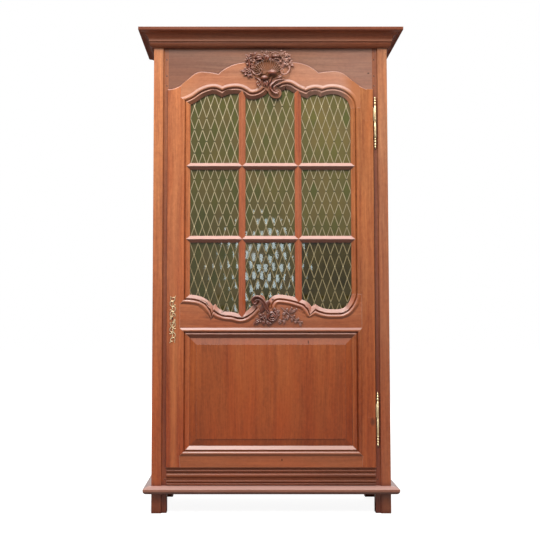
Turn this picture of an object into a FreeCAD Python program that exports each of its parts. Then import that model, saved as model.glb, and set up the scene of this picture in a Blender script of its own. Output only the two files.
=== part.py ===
import FreeCAD, Part
import math
import os
from collections import namedtuple

# Bonnetiere: a tall single-door cupboard. Millimetres, +Z up, the front faces -Y.
# The origin is on the floor, in the middle of the cornice's overall width and depth.

# ---------------------------------------------------------------- carcase sizes
CASE_WIDTH = 1050.0
CASE_DEPTH = 460.0
CASE_HEIGHT = 2130.0          # top of the posts
CORNICE_PROJECTION = 66.0
CORNICE_HEIGHT = 80.0
CORNICE_LAP = 18.0            # how far the cornice stands above the posts
POST_WIDTH = 66.0
POST_DEPTH = 60.0
BACK_POST_DEPTH = 50.0
STRIP_RECESS = 10.0           # inner strip of a front post, set back from its raised face
RAISED_FACE = 42.5            # width of the raised outer face
STRIP_COVE = 7.0              # width of the cove between the two
RAIL_THICKNESS = 24.0
TENON_THICKNESS = 8.0
TENON_LENGTH = 36.0
OPENING_BOTTOM = 203.0        # lower edge of the door opening
BASE_BOTTOM = 86.0            # underside of the base moulding, top of the free feet
BASE_TOP = 119.0
BASE_PROJECTION = 35.0
SIDE_RAIL_SET_BACK = 6.0      # side rails behind the outer face of the posts
SIDE_RAIL_THICKNESS = 22.0
SIDE_TOP_RAIL_DEPTH = 120.0
SIDE_MIDDLE_RAIL_CENTRE = 1010.0
SIDE_MIDDLE_RAIL_DEPTH = 90.0
SIDE_BOTTOM_RAIL_TOP = 210.0
BACK_RAIL_THICKNESS = 20.0
BACK_RAIL_SET_BACK = 4.0
PANEL_TONGUE = 8.0            # thickness of side and back panels at their edge
PANEL_IN_GROOVE = 7.0         # how far a panel reaches into its groove
PANEL_FIELD_RISE = 5.0
PANEL_BEVEL = 32.0
BOARD_THICKNESS = 18.0
TOP_BOARD_THICKNESS = 12.0
SHELF_THICKNESS = 20.0
LOWER_SHELF_TOP = 800.0
SHELF_OVER_BAR = (14.0, 20.0) # middle and upper shelf's top over the cross bar in front of it
SHELF_FRONT = 64.0            # shelf's front edge behind the posts' face
CLEAT_SIZE = 18.0
CLEAT_HOUSING = 8.0           # how far a cleat is let into the posts
PEG_SIZE = 8.0                # across the flats of an eight-sided peg
PEG_LENGTH = 34.0
FIT = 0.5                     # clearance of a panel or board in its groove

# ---------------------------------------------------------------- door sizes
DOOR_SIDE_LAP = 4.0           # lip over the strip of each front post
DOOR_BOTTOM = 198.0           # lower edge of the lip
LIP_THICKNESS = 8.0
LIP_OVERLAP = 5.0             # lip over the strip, rail and frieze
LIP_GAP = 0.5
DOOR_THICKNESS = 24.0
DOOR_CLEARANCE = 3.0          # door body inside the opening
STILE_WIDTH = 103.0           # from the lip's edge to the glass and the lower panel
MOULDING_WIDTH = 40.0
MOULDING_FLOOR = 12.0         # depth of the moulding's lowest layer behind the face
MOULDING_ROOM = 8.0           # the moulding stands less than this in front of the face
DOOR_TOP_DROP = 250.0         # ends of the door's arched top under the top of the posts
GLASS_DROP_LEFT = 319.0       # top corners of the glass under the top of the posts
GLASS_DROP_RIGHT = 335.0
GLASS_BOTTOM_LEFT = 956.0
GLASS_BOTTOM_RIGHT = 958.0
PANEL_SIGHT_TOP = 765.0
PANEL_SIGHT_BOTTOM = 291.0
REBATE = 8.0                  # width of the glazing rebate
REBATE_FLOOR = 14.0           # rebate floor behind the door's face
PANEL_GROOVE_FRONT = 11.0
PANEL_GROOVE = 6.0
DOOR_PANEL_BEVEL = 29.0
DOOR_PANEL_RISE = 4.5
DOOR_PANEL_STEP = 2.5
BAR_WIDTH = 30.0
BAR_TONGUE = 10.0
BAR_RIDGE = 1.5               # ridge of a glazing bar in front of the door's face
PANE_WIDTHS = (232.5, 251.0, 236.5)   # proportions of the panes, between the bars' middles
PANE_HEIGHTS = (280.0, 328.0, 247.0)
GLASS_THICKNESS = 2.5
GLASS_BEHIND_FLOOR = 1.6      # room in front of the glass for the came lattice
CAME_WIDTH = 4.5
CAME_THICKNESS = 0.8
DIAMONDS_ACROSS = 6
DIAMOND_HEIGHT = 106.0
LATTICE_DROP = (7.0, 59.0, 69.0)   # first crossing in each row under the member above it

# ---------------------------------------------------------------- metalwork sizes
HINGE_SIDE_GAP = 2.0          # between the barrel and the door's lip
HINGE_AXIS_DEPTH = 4.0        # hinge axis behind the posts' face
HINGE_RADIUS = 5.5
HINGE_HALF = 76.0             # barrel length of one half
HINGE_GAP = 0.3
HINGE_PIN_RADIUS = 3.0
HINGE_PIN_LENGTH = 60.0
HINGE_BORE_CLEARANCE = 0.05
HINGE_LEAF = 2.5
HINGE_LEAF_HEIGHT = 58.0
HINGE_LEAF_REACH = 38.0
UPPER_HINGE_DROP = 402.0      # joint of the hinge's halves under the top of the posts
LOWER_HINGE = 407.0
LOCK_INSET = 28.0             # keyhole from the lip's edge
LOCK_Z = 846.0
LOCK_WIDTH = 58.0
LOCK_HEIGHT = 78.0
LOCK_DEPTH = 20.0
LOCK_WALL = 2.0
BOLT_HEIGHT = 24.0
BOLT_THICKNESS = 8.0
BOLT_THROW = 12.0
BOLT_LENGTH = 46.0
BOLT_CLEARANCE = 0.3
KEEPER_PLATE = 1.5
KEEPER_HEIGHT = 70.0
KEEPER_WIDTH = 22.0
KEEPER_HOLE_ROOM = 1.5
ESCUTCHEON_THICKNESS = 2.5
KEYHOLE_RADIUS = 3.5
KEYHOLE_SLOT = 3.0

# ---------------------------------------------------------------- derived places
HALF = CASE_WIDTH / 2
FRONT = -(CASE_DEPTH - CORNICE_PROJECTION) / 2
BACK = FRONT + CASE_DEPTH
POST_IN = HALF - POST_WIDTH
RECESS_Y = FRONT + STRIP_RECESS
DOOR_FACE = RECESS_Y - LIP_GAP - LIP_THICKNESS
DOOR_BACK = DOOR_FACE + DOOR_THICKNESS
CORNICE_BOTTOM = CASE_HEIGHT + CORNICE_LAP - CORNICE_HEIGHT
SIDE_FACE = HALF - SIDE_RAIL_SET_BACK
SIDE_IN = SIDE_FACE - SIDE_RAIL_THICKNESS
BACK_RAIL_Y = BACK - BACK_RAIL_SET_BACK - BACK_RAIL_THICKNESS
BACK_POST_Y = BACK - BACK_POST_DEPTH
HINGE_Y = FRONT + HINGE_AXIS_DEPTH
DOOR_HALF_WIDTH = POST_IN + DOOR_SIDE_LAP        # to the outside of the lip
SIGHT_HALF_WIDTH = DOOR_HALF_WIDTH - STILE_WIDTH # opening for the glass and the lower panel
DOOR_SHOULDER = CASE_HEIGHT - DOOR_TOP_DROP      # where the arched top meets the sides
GLASS_TOP_LEFT = CASE_HEIGHT - GLASS_DROP_LEFT
GLASS_TOP_RIGHT = CASE_HEIGHT - GLASS_DROP_RIGHT
GLASS_HIGHEST = GLASS_TOP_LEFT + 89.0            # beyond every point of the rebate
GLASS_LOWEST = GLASS_BOTTOM_LEFT - 106.0
PANE_X = 2 * SIGHT_HALF_WIDTH / sum(PANE_WIDTHS)
PANE_Z = (GLASS_TOP_LEFT - GLASS_BOTTOM_LEFT) / sum(PANE_HEIGHTS)
UPRIGHT_BARS = (PANE_WIDTHS[0] * PANE_X - SIGHT_HALF_WIDTH,
                SIGHT_HALF_WIDTH - PANE_WIDTHS[2] * PANE_X)
CROSS_BARS = (GLASS_TOP_LEFT - PANE_HEIGHTS[0] * PANE_Z,
              GLASS_BOTTOM_LEFT + PANE_HEIGHTS[2] * PANE_Z)
SHELF_TOPS = (LOWER_SHELF_TOP, CROSS_BARS[1] + SHELF_OVER_BAR[0],
              CROSS_BARS[0] + SHELF_OVER_BAR[1])
HINGE_X = DOOR_HALF_WIDTH + HINGE_RADIUS + HINGE_SIDE_GAP
HINGE_JOINTS = (CASE_HEIGHT - UPPER_HINGE_DROP, LOWER_HINGE)
LOCK_X = -DOOR_HALF_WIDTH + LOCK_INSET
SHOULDER = SIGHT_HALF_WIDTH + MOULDING_WIDTH
# The scrolls are drawn full size for an opening 720 wide, in posts 2130 high.
STRETCH = SIGHT_HALF_WIDTH / 360
RAISE = CASE_HEIGHT - 2130

os.makedirs("parts", exist_ok=True)
V = FreeCAD.Vector


def save(name, *shapes):
    """Writes one sub-part, a solid or a group of separate solids."""
    solids = [solid for shape in shapes for solid in shape.Solids]
    shape = solids[0] if len(solids) == 1 else Part.makeCompound(solids)
    shape.exportStep("parts/" + name + ".step")


def block(x0, x1, y0, y1, z0, z1):
    """A plain board between two corners."""
    return Part.makeBox(x1 - x0, y1 - y0, z1 - z0, V(x0, y0, z0))


def mirrored(shape):
    """The left-hand twin of a right-hand piece."""
    return shape.mirror(V(0, 0, 0), V(1, 0, 0))


def largest(shape):
    return max(shape.Solids, key=lambda solid: solid.Volume)


def bar_along_x(profile, x0, x1):
    """A moulding stick: profile points are (y, z), the stick runs along X."""
    wire = Part.makePolygon([V(x0, y, z) for y, z in profile + profile[:1]])
    return Part.Face(wire).extrude(V(x1 - x0, 0, 0))


# ================================================================ curved outlines
# An outline lies in the XZ plane and is a run of arcs. Each arc starts in the heading that the
# last one ended in, unless its step states a new heading, which makes a cusp. Offsets are to the
# left of the direction of travel, which is away from the glass on every sight line below. Cusps
# are mitred.
Arc = namedtuple("Arc", "start end heading turn")


def outline(start, *steps):
    """Arcs from start through the steps: (x, z), (heading, x, z) or ("straight", x, z)."""
    arcs = []
    heading = 0.0
    for step in steps:
        end = step[-2:]
        chord = math.degrees(math.atan2(end[1] - start[1], end[0] - start[0]))
        if len(step) == 3:
            heading = chord if step[0] == "straight" else step[0]
        turn = 2 * ((chord - heading + 180) % 360 - 180)
        arcs.append(Arc(start, end, heading, turn))
        heading += turn
        start = end
    return arcs


def set_out(lift, *steps):
    """Steps of the full-size drawing, widened to this door and lifted with its top."""
    placed = []
    for *how, x, z in steps:
        if how and how[0] != "straight":
            angle = math.radians(how[0])
            how = [math.degrees(math.atan2(math.sin(angle), math.cos(angle) * STRETCH))]
        placed.append((*how, x * STRETCH, z + lift))
    return placed


def left_of(heading):
    angle = math.radians(heading)
    return (-math.sin(angle), math.cos(angle))


def finish_heading(arcs):
    """The heading in which a run of arcs ends."""
    return arcs[-1].heading + arcs[-1].turn


def arc_circle(arc):
    """Centre and signed radius of an arc, or None for a straight one."""
    if abs(arc.turn) < 0.2:
        return None
    chord = math.dist(arc.start, arc.end)
    radius = chord / (2 * math.sin(math.radians(arc.turn) / 2))
    nx, nz = left_of(arc.heading)
    return (arc.start[0] + nx * radius, arc.start[1] + nz * radius), radius


def along_ray(arc, point, ray, distance):
    """Where the ray from an arc's end meets the same arc offset by distance."""
    circle = arc_circle(arc)
    if circle is None:
        nx, nz = left_of(arc.heading)
        t = distance / (ray[0] * nx + ray[1] * nz)
        return (point[0] + ray[0] * t, point[1] + ray[1] * t)
    (cx, cz), radius = circle
    dx, dz = point[0] - cx, point[1] - cz
    b = ray[0] * dx + ray[1] * dz
    root = math.sqrt(max(b * b - dx * dx - dz * dz + (radius - distance) ** 2, 0.0))
    t = min((-b + root, -b - root), key=lambda value: abs(value - distance))
    return (point[0] + ray[0] * t, point[1] + ray[1] * t)


def mitre_ray(before, after):
    """Unit direction in which a corner between two headings moves when it is offset."""
    (ax, az), (bx, bz) = left_of(before), left_of(after)
    length = math.hypot(ax + bx, az + bz)
    return ((ax + bx) / length, (az + bz) / length)


def side_mitre(before, after):
    """The same direction, scaled to one millimetre across, for a corner beside an upright."""
    x, z = mitre_ray(before, after)
    return (x / abs(x), z / abs(x))


def moved(point, ray, distance):
    return (point[0] + ray[0] * distance, point[1] + ray[1] * distance)


def offset_points(arcs, distance, first_ray=None, last_ray=None):
    """The end points of every arc of an open run, offset by distance.
    first_ray and last_ray say where the run's own ends move for each millimetre of offset."""
    ends = []
    for i, arc in enumerate(arcs[1:], 1):
        ray = mitre_ray(finish_heading([arcs[i - 1]]), arc.heading)
        places = [along_ray(beside, arc.start, ray, distance) for beside in (arcs[i - 1], arc)]
        ends.append(tuple(sum(axis) / 2 for axis in zip(*places)))
    first_ray = first_ray or left_of(arcs[0].heading)
    last_ray = last_ray or left_of(finish_heading(arcs))
    return [moved(arcs[0].start, first_ray, distance)] + ends + [
        moved(arcs[-1].end, last_ray, distance)]


def arc_edge(arc, start, end, distance, y):
    """One edge of an offset outline, at depth y."""
    circle = arc_circle(arc)
    a, b = V(start[0], y, start[1]), V(end[0], y, end[1])
    if circle is None:
        return Part.makeLine(a, b)
    (cx, cz), radius = circle
    mx, mz = (start[0] + end[0]) / 2 - cx, (start[1] + end[1]) / 2 - cz
    scale = abs(radius - distance) / math.hypot(mx, mz)
    return Part.Arc(a, V(cx + mx * scale, y, cz + mz * scale), b).toShape()


def run_edges(arcs, distance, y, first_ray=None, last_ray=None):
    """Edges of an open run of arcs, offset by distance, at depth y."""
    ends = offset_points(arcs, distance, first_ray, last_ray)
    return [arc_edge(arc, ends[i], ends[i + 1], distance, y) for i, arc in enumerate(arcs)]


def first_point(edges):
    return edges[0].valueAt(edges[0].FirstParameter)


def last_point(edges):
    return edges[-1].valueAt(edges[-1].LastParameter)


def slab(edges, thickness):
    """A closed outline made into a board; gaps between edges are closed by straight lines."""
    closed = []
    for i, edge in enumerate(edges):
        following = edges[(i + 1) % len(edges)]
        a, b = last_point([edge]), first_point([following])
        closed.append(edge)
        if a.distanceToPoint(b) > 1e-4:
            closed.append(Part.makeLine(a, b))
    face = Part.Face(Part.Wire(Part.__sortEdges__(closed)))
    return face.extrude(V(0, thickness, 0))


def faceted(rings):
    """A solid with flat facets between successive rings of points, closed at both ends."""
    faces = [Part.Face(Part.makePolygon(ring + ring[:1])) for ring in (rings[0], rings[-1])]
    for one, other in zip(rings, rings[1:]):
        for i in range(len(one)):
            a, b, c, d = one[i - 1], one[i], other[i], other[i - 1]
            faces += [Part.Face(Part.makePolygon(corners)) for corners in ([a, b, c, a],
                                                                           [a, c, d, a])]
    solid = Part.makeSolid(Part.makeShell(faces))
    if solid.Volume < 0:
        solid.reverse()
    return solid.removeSplitter()


def line(x0, z0, x1, z1, y):
    return Part.makeLine(V(x0, y, z0), V(x1, y, z1))


# The profile worked round both door openings: distance from the sight edge, height over the face.
MOULDING = ((0, -9), (20, 3), (23, -2), (26, 2.5), (30, 5.5), (34, 5.5), (MOULDING_WIDTH, 0))


def moulding_run(arcs, first_ray=None, last_ray=None):
    """A solid length of the door moulding along a sight line, on its floor layer."""
    floor = DOOR_FACE + MOULDING_FLOOR
    levels = [(0, floor)] + [(d, DOOR_FACE - h) for d, h in MOULDING] + [(MOULDING_WIDTH, floor)]
    loops = [run_edges(arcs, d, y, first_ray, last_ray) for d, y in levels]
    faces = []
    for lower, upper in zip(loops, loops[1:] + loops[:1]):
        faces += [Part.makeRuledSurface(a, b) for a, b in zip(lower, upper)]
    for end in (first_point, last_point):
        corners = [end(loop) for loop in loops]
        faces.append(Part.Face(Part.makePolygon(corners + corners[:1])))
    shell = Part.makeShell(faces)
    shell.sewShape()
    solid = Part.makeSolid(shell)
    if solid.Volume < 0:
        solid.reverse()
    return solid


# The door's top edge, from left to right, in low and high sweeps between two cusps.
DOOR_TOP = outline(
    (-DOOR_HALF_WIDTH, DOOR_SHOULDER),
    *set_out(RAISE, (0, -397, 1904), (-353, 1943), (-305, 1961), (-235, 1951), (45, -150, 1998),
             (0, 2010), (105, 2004), (150, 1996), (217, 1956), (10, 283, 1963), (345, 1941),
             (392, 1902)),
    (DOOR_HALF_WIDTH, DOOR_SHOULDER))

# Sight line of the glass, clockwise from the top left corner. The left corners are mitred and
# the right ones are rounded. Each scroll is a lobe of bare wood under the carving.
TOP_LEFT = outline(
    (-SIGHT_HALF_WIDTH, GLASS_TOP_LEFT),
    *set_out(RAISE, (20, -318, 1835), (-266, 1859.5), (-240, 1856), (-219, 1843),
             (35, -155, 1862), (-118, 1848), (-75, 1835), (-10, 1869)))
TOP_SCROLL = outline(TOP_LEFT[-1].end, *set_out(RAISE, (-80, 24, 1838), (48, 1872)))
TOP_RIGHT = outline(
    TOP_SCROLL[-1].end,
    *set_out(RAISE, (40, 67, 1881), (90, 1876), (139, 1850), (165, 1840), (45, 200, 1857),
             (225, 1845), (30, 286, 1859), (335, 1840), (356, 1810)),
    (SIGHT_HALF_WIDTH, GLASS_TOP_RIGHT))
RIGHT_SIDE = outline(
    (SIGHT_HALF_WIDTH, GLASS_TOP_RIGHT), (-90, SIGHT_HALF_WIDTH, GLASS_BOTTOM_RIGHT))
BOTTOM_RIGHT = outline(
    (SIGHT_HALF_WIDTH, GLASS_BOTTOM_RIGHT),
    *set_out(0, (-100, 354, 936), (336, 907), (300, 891), (262, 891), (198, 914),
             ("straight", 181, 902), (118, 150, 930), (110, 944), (40, 956), (-5, 936),
             (-20, 892)))
BOTTOM_SCROLL = outline(
    BOTTOM_RIGHT[-1].end, *set_out(0, (98, -25, 936), (-64, 938), (-97, -76, 912)))
BOTTOM_LEFT = outline(
    BOTTOM_SCROLL[-1].end,
    *set_out(0, (-133, -110, 880), (-150, 873), (-191, 880), (-246, 915),
             ("straight", -257, 906), (123, -310, 947)),
    (-SIGHT_HALF_WIDTH, GLASS_BOTTOM_LEFT))
LEFT_SIDE = outline(
    (-SIGHT_HALF_WIDTH, GLASS_BOTTOM_LEFT), (90, -SIGHT_HALF_WIDTH, GLASS_TOP_LEFT))
SIGHT_LINE = (TOP_LEFT + TOP_SCROLL + TOP_RIGHT + RIGHT_SIDE + BOTTOM_RIGHT + BOTTOM_SCROLL
              + BOTTOM_LEFT + LEFT_SIDE)


RIGHTWARDS = (1.0, 0.0)
MITRE_TOP_LEFT = side_mitre(90, TOP_LEFT[0].heading)
MITRE_BOTTOM_LEFT = side_mitre(finish_heading(BOTTOM_LEFT), 90)


def sight_slab(distance, y0, y1):
    """The whole glass opening, made wider by distance, as a solid from y0 to y1."""
    edges = run_edges(SIGHT_LINE, distance, y0, MITRE_TOP_LEFT, MITRE_TOP_LEFT)
    return slab(edges, y1 - y0)


# ================================================================ door frame
# Five members, mitred at the mouldings, with tenons from the rails into the stiles.
FLOOR_Y = DOOR_FACE + MOULDING_FLOOR
PANEL_LEFT = outline(
    (-SIGHT_HALF_WIDTH, PANEL_SIGHT_BOTTOM), (90, -SIGHT_HALF_WIDTH, PANEL_SIGHT_TOP))
PANEL_TOP = outline(
    (-SIGHT_HALF_WIDTH, PANEL_SIGHT_TOP), (0, SIGHT_HALF_WIDTH, PANEL_SIGHT_TOP))
PANEL_RIGHT = outline(
    (SIGHT_HALF_WIDTH, PANEL_SIGHT_TOP), (-90, SIGHT_HALF_WIDTH, PANEL_SIGHT_BOTTOM))
PANEL_BOTTOM = outline(
    (SIGHT_HALF_WIDTH, PANEL_SIGHT_BOTTOM), (180, -SIGHT_HALF_WIDTH, PANEL_SIGHT_BOTTOM))
FIELD_TOP = PANEL_SIGHT_TOP + MOULDING_WIDTH
FIELD_BOTTOM = PANEL_SIGHT_BOTTOM - MOULDING_WIDTH
TOP_CORNER = moved(TOP_LEFT[0].start, MITRE_TOP_LEFT, MOULDING_WIDTH)
BOTTOM_CORNER = moved(BOTTOM_LEFT[-1].end, MITRE_BOTTOM_LEFT, MOULDING_WIDTH)
ABOVE_DOOR = CASE_HEIGHT - 90
TENONS = {"top": (GLASS_TOP_LEFT + 11, DOOR_SHOULDER - 14),
          "middle": (FIELD_TOP + 21, GLASS_BOTTOM_LEFT - 54),
          "bottom": (DOOR_BOTTOM + 14, FIELD_BOTTOM - 5)}


def door_shape():
    """Room for the whole door: the thin lip, with its mouldings, and the body in the opening."""
    lip = DOOR_TOP + outline(
        (DOOR_HALF_WIDTH, DOOR_TOP[-1].end[1]), (-90, DOOR_HALF_WIDTH, DOOR_BOTTOM),
        (180, -DOOR_HALF_WIDTH, DOOR_BOTTOM), (90, -DOOR_HALF_WIDTH, DOOR_TOP[0].start[1]))
    front = slab(run_edges(lip, 0, DOOR_FACE - MOULDING_ROOM), MOULDING_ROOM + LIP_THICKNESS)
    inset = LIP_OVERLAP + DOOR_CLEARANCE
    above = run_edges(DOOR_TOP, -inset, DOOR_FACE + LIP_THICKNESS)
    half = DOOR_HALF_WIDTH
    z0 = DOOR_BOTTOM - inset
    below = [line(half, above[-1].valueAt(above[-1].LastParameter).z, half, z0,
                  DOOR_FACE + LIP_THICKNESS),
             line(half, z0, -half, z0, DOOR_FACE + LIP_THICKNESS)]
    body = slab(above + below, DOOR_THICKNESS - LIP_THICKNESS)
    edge = half - inset
    body = body.common(block(-edge, edge, FRONT - 1, BACK, DOOR_BOTTOM + inset, ABOVE_DOOR))
    return front.fuse(body)


def board(points, y0, y1):
    """A flat board with straight edges through the points (x, z)."""
    wire = Part.makePolygon([V(x, y0, z) for x, z in list(points) + [points[0]]])
    return Part.Face(wire).extrude(V(0, y1 - y0, 0))


def fused(first, *others):
    return first.multiFuse(list(others)).removeSplitter()


def tenon(side, span):
    x0 = SHOULDER if side > 0 else -SHOULDER - TENON_LENGTH
    return block(x0, x0 + TENON_LENGTH, FLOOR_Y, FLOOR_Y + TENON_THICKNESS, *span)


DOOR_SHAPE = door_shape()
GLAZING_REBATE = sight_slab(REBATE, DOOR_FACE + REBATE_FLOOR, DOOR_BACK + 1)
PANEL_SLOT = block(-SIGHT_HALF_WIDTH - REBATE, SIGHT_HALF_WIDTH + REBATE,
                   DOOR_FACE + PANEL_GROOVE_FRONT, DOOR_FACE + PANEL_GROOVE_FRONT + PANEL_GROOVE,
                   PANEL_SIGHT_BOTTOM - REBATE, PANEL_SIGHT_TOP + REBATE)


def worked(*pieces):
    """Joins a member's layers and takes off the lip rebate, glazing rebate and panel groove."""
    return largest(fused(*pieces).common(DOOR_SHAPE).cut(GLAZING_REBATE).cut(PANEL_SLOT))


def layered(field_edges, full_edges):
    """The layer beside the moulding, and the layer that carries the moulding, of one rail."""
    return slab(field_edges, MOULDING_FLOOR), slab(full_edges, DOOR_THICKNESS - MOULDING_FLOOR)


def top_rail():
    def around(distance, y, lowest):
        below = (run_edges(TOP_LEFT, distance, y, MITRE_TOP_LEFT) + run_edges(TOP_SCROLL, 0, y)
                 + run_edges(TOP_RIGHT, distance, y, None, RIGHTWARDS))
        above = [line(SHOULDER, lowest, SHOULDER, ABOVE_DOOR, y),
                 line(SHOULDER, ABOVE_DOOR, -SHOULDER, ABOVE_DOOR, y),
                 line(-SHOULDER, ABOVE_DOOR, *TOP_CORNER, y)]
        return below + above
    layers = layered(around(MOULDING_WIDTH, DOOR_FACE, GLASS_TOP_RIGHT),
                     around(0, FLOOR_Y, GLASS_TOP_RIGHT))
    left = moulding_run(TOP_LEFT, MITRE_TOP_LEFT)
    right = moulding_run(TOP_RIGHT, None, RIGHTWARDS)
    return worked(*layers, left, right)


def middle_rail():
    def around(distance, y, below):
        above = (run_edges(BOTTOM_RIGHT, distance, y, RIGHTWARDS) + run_edges(BOTTOM_SCROLL, 0, y)
                 + run_edges(BOTTOM_LEFT, distance, y, None, MITRE_BOTTOM_LEFT))
        corners = [BOTTOM_CORNER, (-SHOULDER, FIELD_TOP)] + below + [
            (SHOULDER, FIELD_TOP), (SHOULDER, GLASS_BOTTOM_RIGHT)]
        return above + [line(*a, *b, y) for a, b in zip(corners, corners[1:])]
    sight = [(-SIGHT_HALF_WIDTH, PANEL_SIGHT_TOP), (SIGHT_HALF_WIDTH, PANEL_SIGHT_TOP)]
    layers = layered(around(MOULDING_WIDTH, DOOR_FACE, []), around(0, FLOOR_Y, sight))
    right = moulding_run(BOTTOM_RIGHT, RIGHTWARDS)
    left = moulding_run(BOTTOM_LEFT, None, MITRE_BOTTOM_LEFT)
    lower = moulding_run(PANEL_TOP, (-1, 1), (1, 1))
    return worked(*layers, right, left, lower)


def bottom_rail():
    low = DOOR_BOTTOM - 1
    front = board([(-SHOULDER, low), (SHOULDER, low), (SHOULDER, FIELD_BOTTOM),
                   (-SHOULDER, FIELD_BOTTOM)], DOOR_FACE, FLOOR_Y)
    behind = board([(-SHOULDER, low), (SHOULDER, low), (SHOULDER, FIELD_BOTTOM),
                    (SIGHT_HALF_WIDTH, PANEL_SIGHT_BOTTOM),
                    (-SIGHT_HALF_WIDTH, PANEL_SIGHT_BOTTOM),
                    (-SHOULDER, FIELD_BOTTOM)], FLOOR_Y, DOOR_BACK)
    return worked(front, behind, moulding_run(PANEL_BOTTOM, (1, -1), (-1, -1)))


def stile(side):
    """A stile: a full-height board, with the moulding's floor beside the glass and the panel."""
    outer, inner, sight = side * (DOOR_HALF_WIDTH + 1), side * SHOULDER, side * SIGHT_HALF_WIDTH
    low = DOOR_BOTTOM - 1
    pieces = [board([(outer, low), (inner, low), (inner, ABOVE_DOOR), (outer, ABOVE_DOOR)],
                    DOOR_FACE, DOOR_BACK)]
    if side < 0:
        glass = [TOP_CORNER, (sight, GLASS_TOP_LEFT), (sight, GLASS_BOTTOM_LEFT), BOTTOM_CORNER]
        runs = [moulding_run(LEFT_SIDE, MITRE_BOTTOM_LEFT, MITRE_TOP_LEFT),
                moulding_run(PANEL_LEFT, (-1, -1), (-1, 1))]
    else:
        glass = [(inner, GLASS_TOP_RIGHT), (sight, GLASS_TOP_RIGHT), (sight, GLASS_BOTTOM_RIGHT),
                 (inner, GLASS_BOTTOM_RIGHT)]
        runs = [moulding_run(RIGHT_SIDE, RIGHTWARDS, RIGHTWARDS),
                moulding_run(PANEL_RIGHT, (1, 1), (1, -1))]
    panel = [(inner, FIELD_TOP), (sight, PANEL_SIGHT_TOP), (sight, PANEL_SIGHT_BOTTOM),
             (inner, FIELD_BOTTOM)]
    pieces += [board(glass, FLOOR_Y, DOOR_BACK), board(panel, FLOOR_Y, DOOR_BACK)]
    return worked(*pieces, *runs)


RAILS = {"top": top_rail(), "middle": middle_rail(), "bottom": bottom_rail()}
STILES = {-1: stile(-1), 1: stile(1)}
for place, span in TENONS.items():
    for side in (-1, 1):
        RAILS[place] = RAILS[place].fuse(tenon(side, span))
        STILES[side] = STILES[side].cut(tenon(side, span))


# ================================================================ glazing bars
BAR_EDGE = MOULDING[0][1]
UPRIGHT_REACH = 70.0          # length of bar blank past the glass, scribed off by the rails
CROSS_REACH = 30.0


def bar_profile(centre):
    """Ridged front and narrow tongue of a glazing bar: (across, y)."""
    half, tongue = BAR_WIDTH / 2, BAR_TONGUE / 2
    floor = DOOR_FACE + REBATE_FLOOR
    return [(centre - half, DOOR_FACE - BAR_EDGE), (centre, DOOR_FACE - BAR_RIDGE),
            (centre + half, DOOR_FACE - BAR_EDGE), (centre + half, floor),
            (centre + tongue, floor), (centre + tongue, DOOR_BACK),
            (centre - tongue, DOOR_BACK), (centre - tongue, floor), (centre - half, floor)]


def upright_bar(x):
    z0, z1 = GLASS_BOTTOM_LEFT - 2 * UPRIGHT_REACH, GLASS_TOP_LEFT + UPRIGHT_REACH
    points = [V(across, y, z0) for across, y in bar_profile(x)]
    blank = Part.Face(Part.makePolygon(points + points[:1])).extrude(V(0, 0, z1 - z0))
    return largest(blank.cut(RAILS["top"]).cut(RAILS["middle"]))


UPRIGHTS = [upright_bar(x) for x in UPRIGHT_BARS]


def cross_bar(z):
    """Three short lengths in line, scribed to the stiles and to the uprights."""
    reach = SIGHT_HALF_WIDTH + CROSS_REACH
    profile = [(y, across) for across, y in bar_profile(z)]
    blank = bar_along_x(profile, -reach, reach)
    pieces = blank.cut(STILES[-1]).cut(STILES[1]).cut(UPRIGHTS[0]).cut(UPRIGHTS[1])
    return sorted(pieces.Solids, key=lambda solid: -solid.Volume)[:3]


# ================================================================ leaded glass
GLASS_ROOM = REBATE - 2.0     # how far glass and lattice reach behind the moulding
BAR_GAP = 0.6                 # between a pane's edge and a bar's tongue
SMALLEST_CAME = 5.0           # offcuts shorter than this are left out
CAME_Y = DOOR_FACE + REBATE_FLOOR
GLASS_Y = CAME_Y + GLASS_BEHIND_FLOOR
BEAD_Y = GLASS_Y + GLASS_THICKNESS
PANE_EDGE = BAR_TONGUE / 2 + BAR_GAP


def cells(bar_half):
    """The nine openings between the bars, as (row, column, x0, x1, z0, z1)."""
    far = SIGHT_HALF_WIDTH + REBATE
    xs = [-far] + [x + side * bar_half for x in UPRIGHT_BARS for side in (-1, 1)] + [far]
    zs = [GLASS_HIGHEST] + [
        z - side * bar_half for z in CROSS_BARS for side in (-1, 1)] + [GLASS_LOWEST]
    return [(row, column, xs[2 * column], xs[2 * column + 1], zs[2 * row + 1], zs[2 * row])
            for row in range(3) for column in range(3)]


def pane_blocks(bar_half, distance, y0, y1):
    """The glass opening cut into nine cells."""
    whole = sight_slab(distance, y0, y1)
    return [whole.common(block(x0, x1, y0, y1, z0, z1))
            for row, column, x0, x1, z0, z1 in cells(bar_half)]


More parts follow.
